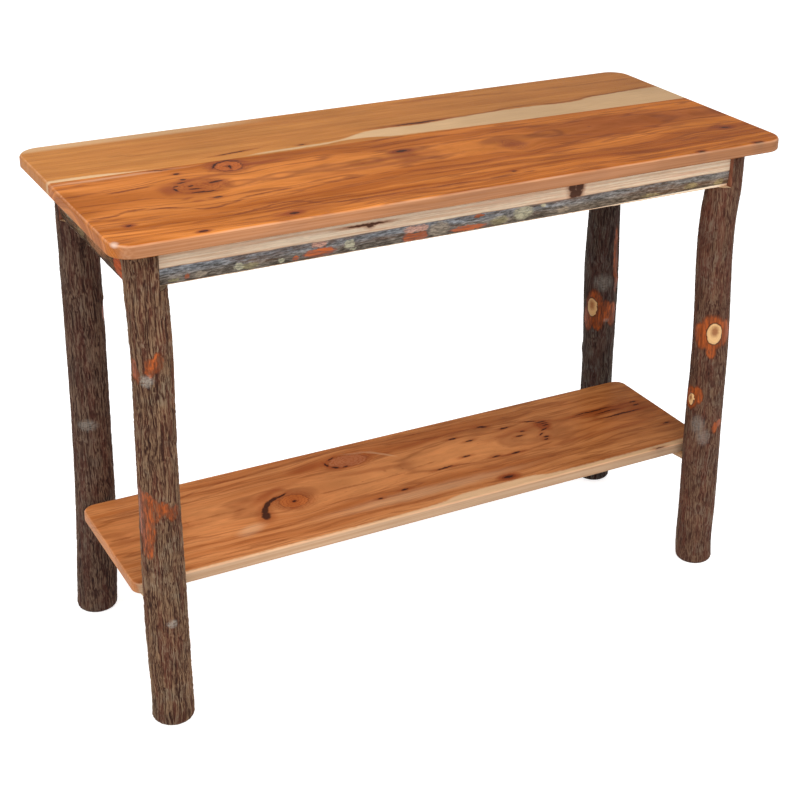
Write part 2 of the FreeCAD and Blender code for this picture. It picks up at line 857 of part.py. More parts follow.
lags, washers, brace_screws = [], [], []
for corner in CORNERS:
    side_x, side_y = signs(corner)
    outward = V(side_x, side_y, 0)
    seat = f"({DIAGONAL_SHARE:.9f} * {LAG_SEAT})"
    lag = lag_screw(f"lag_{corner}")
    put(lag, *inward_place(side_x, side_y, seat, seat), BRACE_MID_HEIGHT, Turn(V(0, 0, 1), outward))
    lags.append(lag)
    ring = washer(f"washer_{corner}")
    put(ring, *inward_place(side_x, side_y, seat, seat), BRACE_MID_HEIGHT, Turn(V(0, 0, 1), outward))
    washers.append(ring)
    head_depth = f"({RAIL_INSET} + Sizes.brace_screw_web)"
    for name, reaches, axis in (
        ("long", ("Sizes.brace_screw_reach", head_depth), V(0, side_y, 0)),
        ("end", (head_depth, "Sizes.brace_screw_reach"), V(side_x, 0, 0)),
    ):
        driven = wood_screw(f"brace_screw_{corner}_{name}", "Sizes.brace_screw_length")
        put(driven, *inward_place(side_x, side_y, *reaches), BRACE_MID_HEIGHT, Turn(V(0, 0, 1), axis))
        brace_screws.append(driven)
group("leg_lag_screws", lags)
group("leg_lag_washers", washers)
group("brace_screws", brace_screws)

rail_screws, top_screws = [], []
for side, side_y in (("front", -1), ("back", 1)):
    for number in (-1, 0, 1):
        level = wood_screw(f"cleat_rail_screw_{side}_{number + 2}", "Sizes.rail_screw_length")
        put(
            level,
            f"{number} * Sizes.cleat_screw_pitch",
            signed(side_y, f"({CLEAT_MID} - Sizes.cleat_depth / 2)"),
            f"{CLEAT_UNDERSIDE} + Sizes.cleat_depth / 2",
            Turn(V(0, 0, 1), V(0, side_y, 0)),
        )
        rail_screws.append(level)
        upright = wood_screw(f"cleat_top_screw_{side}_{number + 2}", "Sizes.long_screw_length")
        put(
            upright,
            f"{number} * Sizes.cleat_screw_pitch + Sizes.cleat_screw_stagger",
            signed(side_y, CLEAT_MID),
            CLEAT_UNDERSIDE,
        )
        top_screws.append(upright)
group("cleat_rail_screws", rail_screws)
group("cleat_top_screws", top_screws)

shelf_screws = []
for side_x in (-1, 1):
    for side_y in (-1, 1):
        name = f"shelf_screw_{(side_x + 3) // 2}_{(side_y + 3) // 2}"
        upright = wood_screw(name, "Sizes.long_screw_length")
        put(
            upright,
            signed(side_x, LEG_X),
            f"{side_y} * Sizes.shelf_screw_reach",
            f"{SHELF_UNDERSIDE} - Sizes.shelf_screw_web",
        )
        shelf_screws.append(upright)
group("shelf_screws", shelf_screws)

# Every object has to have worked before anything is written
doc.recompute()
for thing in doc.Objects:
    if "Invalid" in thing.State or "Error" in thing.State:
        raise RuntimeError(f"{thing.Label} failed: {thing.State}")
for node in nodes:
    if node.Shape.isNull() or not node.Shape.isValid() or not node.Shape.Solids:
        raise RuntimeError(f"{node.Label} has no valid solid")

os.makedirs("parts", exist_ok=True)
for node in nodes:
    node.Shape.exportStep(f"parts/{node.Label}.step")
    print(f"{node.Label}: {len(node.Shape.Solids)} solids, {node.Shape.Volume / 1000:.1f} cm3")
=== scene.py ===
"""Rustic hickory table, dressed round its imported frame."""

import math

import bmesh
import bpy
import numpy as np
from mathutils import Matrix, Vector


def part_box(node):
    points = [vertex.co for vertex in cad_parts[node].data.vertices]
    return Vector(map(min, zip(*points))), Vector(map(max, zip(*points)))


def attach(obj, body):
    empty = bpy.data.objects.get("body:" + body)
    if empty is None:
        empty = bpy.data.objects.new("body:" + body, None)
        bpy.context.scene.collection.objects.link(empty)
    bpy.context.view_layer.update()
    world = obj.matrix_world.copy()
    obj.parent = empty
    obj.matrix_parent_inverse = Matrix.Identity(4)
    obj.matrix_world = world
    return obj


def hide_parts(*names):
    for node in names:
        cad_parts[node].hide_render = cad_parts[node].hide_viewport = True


bl_info = {
    "name": "Rustic Hickory Table",
    "version": (1, 0, 0),
    "blender": (4, 5, 0),
    "location": "3D View > Sidebar > Table",
    "description": "Builds a pole-leg hickory table with bark, sawn rails and varnished planks",
    "category": "Object",
}

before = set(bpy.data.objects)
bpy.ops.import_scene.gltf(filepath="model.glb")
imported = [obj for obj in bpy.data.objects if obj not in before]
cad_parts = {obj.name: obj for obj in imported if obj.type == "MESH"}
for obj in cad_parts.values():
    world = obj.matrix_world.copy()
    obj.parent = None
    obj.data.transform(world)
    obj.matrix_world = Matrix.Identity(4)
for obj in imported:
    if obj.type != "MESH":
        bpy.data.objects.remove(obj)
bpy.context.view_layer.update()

MM = 0.001
CORNERS = ("front_left", "front_right", "back_left", "back_right")
RAIL_SIDES = ("front", "back", "left", "right")


def tone(red, green, blue):
    """A colour written as it looks on screen, from 0 to 255, in Blender's own measure."""
    shares = (channel / 255 for channel in (red, green, blue))
    return tuple(s / 12.92 if s <= 0.04045 else ((s + 0.055) / 1.055) ** 2.4 for s in shares)


def number_property(name, description, value, **more):
    return bpy.props.FloatProperty(name=name, description=description, default=value, **more)


def length_property(name, description, value):
    return number_property(name, description, value, min=0, subtype="DISTANCE", unit="LENGTH")


def angle_property(name, description, degrees):
    return number_property(name, description, math.radians(degrees), subtype="ANGLE")


def colour_property(name, description, *channels):
    return bpy.props.FloatVectorProperty(
        name=name, description=description, default=tone(*channels), min=0, max=1, size=3, subtype="COLOR"
    )


class StageSettings(bpy.types.PropertyGroup):
    """The camera, the floor and the light."""

    azimuth: angle_property("Azimuth", "Turn of the camera from in front, towards the left end", 29.157)
    elevation: angle_property("Elevation", "How steeply the camera looks down", 24.042)
    roll: angle_property("Roll", "Tilt of the picture", -0.915)
    distance: length_property("Distance", "Camera to the point it turns about", 2.55044)
    focal_pixels: number_property("Focal Length", "Focal length in pixels of the picture", 1599.37)
    picture_side: number_property("Picture Side", "Width and height of the picture in pixels", 800)
    middle: bpy.props.FloatVectorProperty(
        name="Picture Middle",
        description="Pixel that the camera points at",
        default=(440, 340),
        size=2,
    )
    target: bpy.props.FloatVectorProperty(
        name="Target",
        description="Point that the camera turns about",
        default=(0.05694, 0.0, 0.42936),
        subtype="XYZ",
        unit="LENGTH",
    )
    floor_side: length_property("Floor Side", "Length of the floor's sides", 40.0)
    floor_colour: colour_property("Floor", "Colour of the floor", 236, 236, 236)
    sky_strength: number_property("Sky", "Strength of the even light from all round", 0.62, min=0)
    key_power: number_property("Key Light", "Power of the large light in front", 95.0, min=0)
    fill_power: number_property("Fill Light", "Power of the light at the left", 22.0, min=0)


class BarkSettings(bpy.types.PropertyGroup):
    """The poles' bark."""

    ridge_width: length_property("Ridge Width", "Width of one ridge on the roughest pole", 0.0027)
    ridge_depth: length_property("Ridge Depth", "Crest to furrow on the roughest pole", 0.0023)
    peel_depth: length_property("Peel Depth", "How far peeled patches lie below the bark", 0.0014)
    crest: colour_property("Crest", "Tan of the ridges", 134, 102, 77)
    furrow: colour_property("Furrow", "Dark brown between the ridges", 66, 38, 28)
    russet: colour_property("Russet", "Reddish streaks", 98, 54, 40)
    lichen: colour_property("Lichen", "Grey film on the ridges", 136, 129, 114)
    inner: colour_property("Inner Bark", "Orange under the bark", 180, 88, 36)
    knot_wood: colour_property("Knot", "Pale wood of a sawn knot", 218, 174, 120)
    scar: colour_property("Scar", "Silvery grey on healed knots", 176, 172, 162)


class RailSettings(bpy.types.PropertyGroup):
    """The rails under the top."""

    grid: length_property("Grid", "Size of the mesh's squares", 0.0015)
    relief: length_property("Relief", "Depth of the bark's relief", 0.0007)
    border_wander: length_property("Border Wander", "How far the bark's upper border wanders", 0.0016)
    arris: length_property("Arris", "Bare strip along the lower edge", 0.0016)
    sawn: colour_property("Sawn Face", "Blond sawn wood", 226, 208, 182)
    sawn_dark: colour_property("Sawn Grain", "Brown grain in the sawn wood", 208, 176, 146)
    bark_pale: colour_property("Bark, Pale", "Blue-grey of the smooth bark", 152, 157, 163)
    bark_dark: colour_property("Bark, Dark", "Shaded lower part of the bark", 68, 65, 62)
    end_pale: colour_property("End Bark, Pale", "Tan bark of the end rails", 126, 94, 68)
    end_dark: colour_property("End Bark, Dark", "Dark bark of the end rails", 60, 44, 36)
    orange: colour_property("Inner Bark", "Orange patches", 196, 98, 42)
    end_orange: colour_property("End Inner Bark", "Orange patches of the end rails", 198, 84, 22)
    pink: colour_property("Thin Bark", "Pink patches of thin bark", 196, 148, 128)
    lichen: colour_property("Lichen", "Pale green patches", 172, 168, 142)
    olive: colour_property("Moss", "Yellow-green patches", 146, 136, 98)
    tan: colour_property("Worn Bark", "Greyish tan patches", 150, 136, 118)


class BoardSettings(bpy.types.PropertyGroup):
    """The varnished top and shelf."""

    heart_pale: colour_property("Heartwood, Pale", "Light golden heartwood", 198, 118, 46)
    heart_deep: colour_property("Heartwood, Deep", "Orange-brown heartwood", 150, 76, 12)
    grain_line: colour_property("Grain Line", "Reddish brown grain lines", 104, 46, 18)
    sapwood: colour_property("Sapwood", "Cream sapwood", 207, 172, 130)
    knot_dark: colour_property("Knot", "Dark core of the knots", 42, 18, 10)
    halo: colour_property("Knot Halo", "Red-brown wood round the knots", 128, 58, 22)
    core: colour_property("Knot Core", "Orange-brown middle of the knots", 176, 92, 34)
    back_pale: colour_property("Rear Board, Pale", "Golden tan", 187, 122, 58)
    back_deep: colour_property("Rear Board, Deep", "Deeper golden tan", 174, 109, 50)
    shelf_pale: colour_property("Shelf, Pale", "Light tan of the shelf", 186, 122, 70)
    shelf_deep: colour_property("Shelf, Deep", "Deeper brown of the shelf", 156, 90, 44)
    knot_grey: colour_property("Grey Knot", "Pinkish grey middle of the healed knots", 172, 118, 86)
    edge_pale: colour_property("Edge, Pale", "Pinkish tan of the top's edge", 178, 130, 98)
    edge_deep: colour_property("Edge, Deep", "Brown streaks in the top's edge", 160, 112, 80)
    shelf_edge_pale: colour_property("Shelf Edge, Pale", "Pale tan of the shelf's edge", 190, 158, 130)
    shelf_edge_deep: colour_property("Shelf Edge, Deep", "Tan streaks in the shelf's edge", 172, 136, 106)
    # The arris and glint colours are painted highlights: the varnish's sheen along the boards' rounded
    # edges and on the front left corner.
    arris: colour_property("Arris", "Worn pale corner along the boards' edges", 222, 170, 134)
    glint: colour_property("Glint", "Bright corner at the front left", 244, 222, 206)
    roughness: number_property("Roughness", "Roughness of the satin varnish", 0.36, min=0, max=1)


class UnderSettings(bpy.types.PropertyGroup):
    """The rungs, braces, cleats and screws."""

    shaved: colour_property("Shaved Wood", "Rungs, peeled and shaved", 206, 160, 110)
    sawn: colour_property("Sawn Wood", "Braces and cleats", 198, 160, 118)
    steel: colour_property("Steel", "Zinc on the screws", 176, 180, 184)
    grid: length_property("Grid", "Size of the rungs' mesh squares", 0.0014)
    facet: length_property("Facet", "Depth of the drawknife's facets", 0.0009)


SETTINGS = (
    ("table_stage", StageSettings),
    ("table_bark", BarkSettings),
    ("table_rails", RailSettings),
    ("table_boards", BoardSettings),
    ("table_under", UnderSettings),
)


# Wiring of node trees


class Value:
    """What comes out of a node. Sums with it add math nodes to its tree, for vectors where it is one."""

    def __init__(self, socket):
        self.socket = socket

    def reckon(self, operation, *terms):
        kind = "ShaderNodeMath" if is_number(self) else "ShaderNodeVectorMath"
        return add(kind, terms, operation=operation)

    def __add__(self, other):
        return self.reckon("ADD", self, other)[0]

    def __radd__(self, other):
        return self.reckon("ADD", other, self)[0]

    def __sub__(self, other):
        return self.reckon("SUBTRACT", self, other)[0]

    def __rsub__(self, other):
        return self.reckon("SUBTRACT", other, self)[0]

    def __mul__(self, other):
        if is_number(other) and not is_number(self):
            return add("ShaderNodeVectorMath", {0: self, 3: other}, operation="SCALE")[0]
        return self.reckon("MULTIPLY", self, other)[0]

    def __truediv__(self, other):
        return self.reckon("DIVIDE", self, other)[0]

    def __pow__(self, other):
        return self.reckon("POWER", self, other)[0]

    def __abs__(self):
        return self.reckon("ABSOLUTE", self)[0]

    def length(self):
        return self.reckon("LENGTH", self)["Value"]

    def dot(self, other):
        return self.reckon("DOT_PRODUCT", self, other)["Value"]


class Outputs:
    """The values that come out of a node, by name or number."""

    def __init__(self, node):
        self.node = node

    def __getitem__(self, key):
        return Value(self.node.outputs[key])


def is_number(value):
    return value.socket.type == "VALUE" if isinstance(value, Value) else isinstance(value, (int, float))


def feed(node, inputs=(), **named):
    """Links a node's inputs to values and sets them to plain ones. A colour may have three parts."""
    for key, value in {**dict(inputs), **named}.items():
        socket = node.inputs[key.replace("_", " ") if isinstance(key, str) else key]
        if isinstance(value, Value):
            node.id_data.links.new(value.socket, socket)
        elif value is not None:
            socket.default_value = (*value, 1.0) if socket.type == "RGBA" and len(value) == 3 else value


def add(kind, inputs=(), tree=None, **settings):
    """Adds a node to a tree, which can be left out where an input comes from it, and gives its outputs."""
    inputs = dict(inputs if isinstance(inputs, dict) else enumerate(inputs))
    tree = tree or next(v.socket.id_data for v in inputs.values() if isinstance(v, Value))
    node = tree.nodes.new(kind)
    for name, setting in settings.items():
        setattr(node, name, setting)
    feed(node, inputs)
    return Outputs(node)


def sine(value):
    return value.reckon("SINE", value)[0]


def greater(one, other):
    return add("ShaderNodeMath", (one, other), operation="MAXIMUM")[0]


def mix(share, low, high):
    return add("ShaderNodeMix", {0: share, 2: low, 3: high}, data_type="FLOAT")[0]


def blend(share, low, high, how="MIX"):
    """One colour turned into another by a share."""
    return add("ShaderNodeMix", {0: share, 6: low, 7: high}, data_type="RGBA", blend_type=how)[2]


def shaded(colour, share):
    """A colour times a share, which is a number or a colour itself."""
    if isinstance(share, Value) and is_number(share):
        share = join(share, share, share)
    return blend(1.0, colour, share, "MULTIPLY")


def step(value, low, high, to_low=0.0, to_high=1.0, smooth=True):
    """A step from one value to another, smooth or straight."""
    kind = "SMOOTHSTEP" if smooth else "LINEAR"
    return add("ShaderNodeMapRange", (value, low, high, to_low, to_high), interpolation_type=kind)[0]


def noise(place, scale, detail=2.0, roughness=0.5, output=0):
    inputs = {"Vector": place, "Scale": scale, "Detail": detail, "Roughness": roughness}
    return add("ShaderNodeTexNoise", inputs)[output]


def cells(place, scale, feature="DISTANCE_TO_EDGE"):
    return add("ShaderNodeTexVoronoi", {"Vector": place, "Scale": scale}, feature=feature)["Distance"]


def join(x, y, z):
    return add("ShaderNodeCombineXYZ", (x, y, z))[0]


def split(vector):
    return add("ShaderNodeSeparateXYZ", (vector,))


def wander(place, scale, reach, detail=1.0):
    """A place moved by soft noise, by up to about half of reach each way."""
    return place + (noise(place, scale, detail, output=1) - (0.5, 0.5, 0.5)) * reach


def curve(value, points):
    """A smooth curve through points, each from 0 to 1."""
    bent = add("ShaderNodeFloatCurve", {1: value})
    mapping = bent.node.mapping
    line = mapping.curves[0]
    line.points[0].location = points[0]
    line.points[1].location = points[-1]
    for point in points[1:-1]:
        line.points.new(*point)
    mapping.update()
    return bent[0]


def traced(along, points):
    """The height of a line traced through points over a length, both in millimetres."""
    xs, ys = [p[0] for p in points], [p[1] for p in points]
    span = xs[-1] - xs[0]
    low, high = min(ys) - 1, max(ys) + 1
    bent = curve(
        step(along, xs[0], xs[-1], smooth=False),
        [((x - xs[0]) / span, (y - low) / (high - low)) for x, y in points],
    )
    return bent * (high - low) + low


def within(value, low, high, soft):
    """1 between two values, fading out over a soft edge on each side."""
    return step(value, low - soft, low + soft) * step(value, high + soft, high - soft)


def inside(place, spots):
    """How deep a place lies in the nearest of some oval spots: 1 in its middle, 0 on its rim."""
    return deepest([1 - ((place - centre) / half).length() for centre, half in spots])


def deepest(depths):
    """The greatest of some depths."""
    depth = depths[0]
    for other in depths[1:]:
        depth = greater(depth, other)
    return depth


# Modelling helpers


def deselect_all():
    if bpy.context.mode != "OBJECT":
        bpy.ops.object.mode_set(mode="OBJECT")
    bpy.ops.object.select_all(action="DESELECT")


def activate(piece):
    deselect_all()
    piece.select_set(True)
    bpy.context.view_layer.objects.active = piece


def start_editing(piece, everything=False):
    activate(piece)
    bpy.ops.object.mode_set(mode="EDIT")
    bpy.ops.mesh.select_mode(type="VERT")
    bpy.ops.mesh.select_all(action="SELECT" if everything else "DESELECT")


def pick_edges(piece, test):
    """Selects the edges that pass the test, in edit mode."""
    bpy.ops.mesh.select_mode(type="EDGE")
    bpy.ops.mesh.select_all(action="DESELECT")
    shape = bmesh.from_edit_mesh(piece.data)
    for edge in shape.edges:
        if test(*edge.verts):
            edge.select = True
    shape.select_flush_mode()
    bmesh.update_edit_mesh(piece.data)


def apply_modifier(piece, modifier):
    activate(piece)
    bpy.ops.object.modifier_apply(modifier=modifier.name)


def finish_piece(piece, name, materials, smooth=60):
    """Names a piece, gives it its materials and lets it ride on the table."""
    activate(piece)
    bpy.ops.object.transform_apply(location=True, rotation=True, scale=True)
    bpy.ops.object.shade_smooth_by_angle(angle=math.radians(smooth))
    piece.name = name
    piece.data.name = name
    while len(piece.data.materials) < len(materials):
        piece.data.materials.append(None)
    for number, material in enumerate(materials):
        piece.data.materials[number] = material
    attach(piece, "root")


def fine_copy(node, grid):
    """A copy of a CAD node's mesh, closed and cut anew into small squares."""
    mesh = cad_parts[node].data.copy()
    piece = bpy.data.objects.new(node + "_copy", mesh)
    bpy.context.scene.collection.objects.link(piece)
    mesh.materials.clear()
    start_editing(piece, everything=True)
    bpy.ops.mesh.remove_doubles(threshold=0.01 * MM)
    bpy.ops.object.mode_set(mode="OBJECT")
    remesh = piece.modifiers.new("grid", "REMESH")
    remesh.mode = "VOXEL"
    remesh.voxel_size = grid
    remesh.use_smooth_shade = True
    apply_modifier(piece, remesh)
    return piece


def move_points(piece, name, shape):
    """Moves a piece's points as shape says. The numbers it gives too are kept on them for the material."""
    tree = bpy.data.node_groups.new(name, "GeometryNodeTree")
    for way in ("INPUT", "OUTPUT"):
        tree.interface.new_socket(name="Geometry", in_out=way, socket_type="NodeSocketGeometry")
    mesh = add("NodeGroupInput", tree=tree)["Geometry"]
    place = add("GeometryNodeInputPosition", tree=tree)[0] * (1 / MM)
    offset, kept = shape(place, add("GeometryNodeInputNormal", tree=tree)[0])
    for title, value in kept.items():
        inputs = {"Geometry": mesh, "Name": title, "Value": value}
        mesh = add("GeometryNodeStoreNamedAttribute", inputs, data_type="FLOAT", domain="POINT")["Geometry"]
    moved = add("GeometryNodeSetPosition", {"Geometry": mesh, "Offset": offset})[0]
    feed(add("NodeGroupOutput", tree=tree).node, Geometry=moved)
    modifier = piece.modifiers.new("relief", "NODES")
    modifier.node_group = tree
    apply_modifier(piece, modifier)


def bark_height(place, width, stretch, seed):
    """Long interlaced ridges that run along stretch's small axis, from 0 in a furrow to 1 on a crest."""
    moved = place + (seed * 137.0, seed * 71.0, seed * 29.0)
    drawn = wander(wander(moved, 0.016, (10, 10, 10)), 0.06, (5, 5, 5)) * stretch
    plates = step(cells(drawn, 1 / width), 0.0, 0.3)
    ridge = step(abs(noise(drawn, 0.8 / width, 2, 0.55) - 0.5), 0.1, 0.0)
    crumbs = noise(moved * (1, 1, 0.6), 0.4, 3, 0.6)
    return plates * 0.36 + ridge * 0.4 + crumbs * 0.24


# Materials


def dimmed(colour, share, tint=(1, 1, 1)):
    """Three parts times a share, each with its own tint too."""
    return [channel * share * part for channel, part in zip(colour, tint)]


def new_material(name):
    """A material and the object's coordinates in millimetres in its tree."""
    material = bpy.data.materials.new(name)
    material.use_nodes = True
    return material, add("ShaderNodeTexCoord", tree=material.node_tree)["Object"] * (1 / MM)


def kept_number(place, name):
    """A number that was kept on the mesh, in the tree of a place."""
    return add("ShaderNodeAttribute", tree=place.socket.id_data, attribute_name=name)["Fac"]


def facing(place):
    """X, Y and Z of the surface's direction."""
    return split(add("ShaderNodeNewGeometry", tree=place.socket.id_data)["Normal"])


def finish_material(material, height=None, reach=0.0, **sockets):
    """Feeds the surface shader. A height gives fine relief, reach metres from lowest to highest."""
    if height is not None:
        inputs = {"Strength": 1.0, "Distance": reach, "Height": height}
        sockets["Normal"] = add("ShaderNodeBump", inputs)[0]
    feed(material.node_tree.nodes["Principled BSDF"], **sockets)
    return material


# Shared surface effects

EFFECTS = {}


def shared(outputs, **inputs):
    """Marks a function that wires a shared effect, and keeps the names of its outputs and inputs."""

    def keep(wire):
        EFFECTS[wire.__name__] = wire, outputs.split(), inputs
        return wire

    return keep


def effect(name, **values):
    """Puts a shared effect into the tree that its values come from."""
    if name not in bpy.data.node_groups:
        build_effect(name)
    return add("ShaderNodeGroup", values, node_tree=bpy.data.node_groups[name])


def build_effect(name):
    wire, outputs, inputs = EFFECTS[name]
    tree = bpy.data.node_groups.new(name, "ShaderNodeTree")
    titles = [(title.replace("_", " "), kind) for kind, words in inputs.items() for title in words.split()]
    for title, kind in titles:
        tree.interface.new_socket(name=title, in_out="INPUT", socket_type=f"NodeSocket{kind}")
    for title in outputs:
        kind = "Color" if title == "Color" else "Float"
        tree.interface.new_socket(name=title, in_out="OUTPUT", socket_type=f"NodeSocket{kind}")
    given = add("NodeGroupInput", tree=tree)
    made = wire(**{title.lower().replace(" ", "_"): given[title] for title, _ in titles})
    feed(add("NodeGroupOutput", tree=tree).node, zip(outputs, made))


@shared("Depth", Vector="Place Centre Half_Size Turn")
def oval_spot(place, centre, half_size, turn):
    """How deep a place lies in a turned oval: 1 in its middle, 0 on its rim."""
    local = add("ShaderNodeMapping", (place, centre, turn, half_size), vector_type="TEXTURE")[0]
    return [1 - local.length()]


@shared("Depth Pull", Vector="Place Centre Half_Size", Float="Strength")
def knot_pull(place, centre, half_size, strength):
    """A knot that the grain flows round: its depth, and how far it draws grain lines to its middle."""
    depth = effect("oval_spot", Place=place, Centre=centre, Half_Size=half_size)["Depth"]
    away = (1 - depth) ** 2 * -0.32
    reach = away.reckon("EXPONENT", away)[0]
    return depth, (split(centre)[1] - split(place)[1]) * reach * strength


@shared("Band Line Fibre Pore", Vector="Place Heart", Float="Wave Seed")
def plank_grain(place, heart, wave, seed):
    """Year rings and fibres of a plank along X, as if cut from a log whose heart runs beside it."""
    seed = seed * 37.0
    slow = place * (0.0045, 0.012, 0.012) + join(seed, seed, seed)
    quick = place * (0.018, 0.05, 0.05) + join(seed, seed, 0)
    sway = ((noise(slow, 1, 1) - 0.5) * 46 + (noise(quick, 1, 2) - 0.5) * 7) * wave
    x = split(place)[0]
    radius = ((place - heart + join(0, sway, 0)) * (0, 1, 1)).length()

    def along(stretch, pitch, detail, rough, shift):
        return noise(join(x * stretch, radius * pitch + seed, seed + shift), 1, detail, rough)

    band = along(0.0022, 0.055, 2, 0.5, 0)
    line = step(abs(along(0.0035, 0.085, 3, 0.55, 3) - 0.5), 0.045, 0.0)
    fibre = along(0.016, 0.75, 3, 0.6, 7)
    pore = step(along(0.07, 1.9, 1, 0.5, 11), 0.66, 0.76)
    return band, line, fibre, pore


@shared(
    "Color Roughness Height",
    Vector="Place Along",
    Float="Relief Bare Flakes Film Shadow",
    Color="Crest Furrow Russet Lichen Inner",
)
def bark_skin(place, along, relief, bare, flakes, film, shadow, crest, furrow, russet, lichen, inner):
    """Colour, roughness and fine height of bark, from the ridges kept on the mesh."""
    drawn = place * along
    fine = noise(drawn, 0.85, 3, 0.62) * 0.55 + noise(place, 0.9, 4, 0.65) * 0.3
    level = relief + (fine - 0.42)
    tall = step(level, 0.2, 0.8)
    colour = blend(tall, furrow, crest)
    red = step(noise(drawn, 0.085, 3, 0.55), 0.46, 0.6) * step(level, 0.85, 0.3, 0.1, 0.6)
    colour = blend(red, colour, russet)
    grey = step(noise(place, 0.033, 4, 0.6), 0.47, 0.68) * tall * film
    colour = blend(grey, colour, lichen)
    fleck = step(noise(drawn, 1.3, 2), 0.64, 0.74) * tall
    colour = blend(fleck * 0.35, colour, lichen, "SCREEN")
    mottle = step(noise(place, 0.02, 3), 0.3, 0.7, 0.86, 1.12)
    # Painted shade: the furrows are darkened down to the Shadow brightness where the relief is low.
    colour = shaded(colour, mottle * step(level, 0.02, 0.34, shadow, 1.0))
    inner = shaded(inner, step(noise(drawn, 0.24, 4, 0.6), 0.28, 0.72, 0.42, 1.14))
    shred = step(noise(drawn, 0.55, 3, 0.6), 0.52, 0.66)
    inner = blend(shred * 0.65, inner, furrow)
    crumb = step(noise(drawn * (1, 1, 2.5), 0.26, 4, 0.65), 0.38, 0.62)
    bare = bare * (1 - crumb * flakes)
    rim = bare * (1 - bare) * 1.3
    colour = blend(bare, colour, inner)
    colour = blend(rim, colour, blend(0.6, furrow, (0, 0, 0)))
    roughness = mix(bare, step(tall, 0, 1, 0.82, 0.62), 0.42)
    return colour, roughness, fine * (1 - bare * 0.75)


@shared("Color Height", Float="Band Line Fibre Pore Contrast", Color="Pale Deep Lines")
def plank_skin(band, line, fibre, pore, contrast, pale, deep, lines):
    """Colour and fine height of planed wood from its year rings and fibres."""
    colour = blend(step(band, 0.32, 0.68), deep, pale)
    colour = blend(line * contrast, colour, lines)
    colour = shaded(colour, step(fibre, 0.25, 0.75, 0.86, 1.12))
    return blend(pore * 0.35, colour, lines), fibre - pore


@shared("Color", Color="Color Halo Core Dark", Float="Depth Grit Reach Rim Heart Fill")
def knot_face(color, halo, core, dark, depth, grit, reach, rim, heart, fill):
    """Paints a knot over a colour: a red halo, a core with rings, a dark rim and a dark heart."""
    depth = depth + grit * 0.5
    low = reach * -1
    colour = blend(step(depth, low, 0.15) * mix(fill, 0.25, 0.75), color, halo)
    colour = blend(step(depth, -0.02, 0.12) * fill * 0.85, colour, core)
    rings = step(sine(depth * 30), 0.1, 1) * step(depth, low, 0.2)
    colour = blend(rings * 0.6, colour, halo)
    colour = blend(within(depth, -0.04, 0.08, 0.07) * rim, colour, dark)
    return [blend(step(depth, 0.6, 0.85) * heart, colour, dark)]


@shared("Color Roughness", Vector="Place", Color="Metal")
def zinc(place, metal):
    """Colour and roughness of zinc plate, dull in patches."""
    cloud = noise(place, 0.4, 4, 0.6)
    colour = shaded(metal, step(cloud + cells(place, 0.5, "F1") * 0.3, 0.3, 0.9, 0.7, 1.05))
    return colour, step(cloud, 0.3, 0.7, 0.28, 0.5)


# Stage

FLOOR_LIFT = 0.72  # own glow of the floor where it is seen, which makes it as white as the surround
LAMPS = (("key", (-0.6, -2.6, 3.0), 2.4), ("fill", (-3.2, -0.6, 1.6), 2.0))  # place and side in metres
LAMP_TARGET = (0, 0, 0.4)


class TABLE_OT_stage(bpy.types.Operator):
    """Sets the floor, the lights and the camera"""

    bl_idname = "table.stage"
    bl_label = "Stage"

    def execute(self, context):
        settings = context.scene.table_stage
        context.scene.view_settings.view_transform = "Standard"
        deselect_all()
        bpy.ops.mesh.primitive_plane_add(size=settings.floor_side)
        floor = context.object
        floor.name = "floor"
        floor.data.materials.append(self.floor_material(settings))
        self.world(context.scene, settings)
        self.lights(settings)
        self.camera(context.scene, settings)
        return {"FINISHED"}

    def seen_directly(self, tree):
        """1 for what the camera, a mirror or a pane sees, 0 for light that falls on things."""
        path = add("ShaderNodeLightPath", tree=tree)
        return deepest([path[f"Is {kind} Ray"] for kind in ("Camera", "Glossy", "Transmission")])

    def floor_material(self, settings):
        material, place = new_material("floor")
        pale = settings.floor_colour
        return finish_material(
            material,
            Base_Color=blend(noise(place, 0.002, 3), pale, dimmed(pale, 0.985)),
            Roughness=0.9,
            Specular_IOR_Level=0.0,
            Emission_Color=(1, 1, 1),
            Emission_Strength=self.seen_directly(material.node_tree) * FLOOR_LIFT,
        )

    def world(self, scene, settings):
        world = bpy.data.worlds.new("surround")
        scene.world = world
        world.use_nodes = True
        strength = mix(self.seen_directly(world.node_tree), settings.sky_strength, 1.0)
        feed(world.node_tree.nodes["Background"], Strength=strength, Color=(1, 1, 1))

    def lights(self, settings):
        for name, place, side in LAMPS:
            data = bpy.data.lights.new(name, "AREA")
            data.energy = getattr(settings, f"{name}_power")
            data.size = side
            lamp = bpy.data.objects.new(name, data)
            lamp.location = place
            aim = Vector(LAMP_TARGET) - Vector(place)
            lamp.rotation_euler = aim.to_track_quat("-Z", "Y").to_euler()
            bpy.context.scene.collection.objects.link(lamp)

    def camera(self, scene, settings):
        azimuth, level = -settings.azimuth, math.cos(settings.elevation)
        back = Vector(
            (math.sin(azimuth) * level, -math.cos(azimuth) * level, math.sin(settings.elevation))
        )
        level_right = (-back).cross(Vector((0, 0, 1))).normalized()
        level_down = (-back).cross(level_right)
        cosine, sine = math.cos(settings.roll), math.sin(settings.roll)
        right = cosine * level_right + sine * level_down
        down = -sine * level_right + cosine * level_down
        turn = Matrix((right, -down, back)).transposed().to_4x4()
        data = bpy.data.cameras.new("camera")
        side = settings.picture_side
        data.lens = settings.focal_pixels / side * data.sensor_width
        data.shift_x = (side / 2 - settings.middle[0]) / side
        data.shift_y = (settings.middle[1] - side / 2) / side
        camera = bpy.data.objects.new("camera", data)
        place = Vector(settings.target) + back * settings.distance
        camera.matrix_world = Matrix.Translation(place) @ turn
        scene.collection.objects.link(camera)
        scene.camera = camera


# Legs

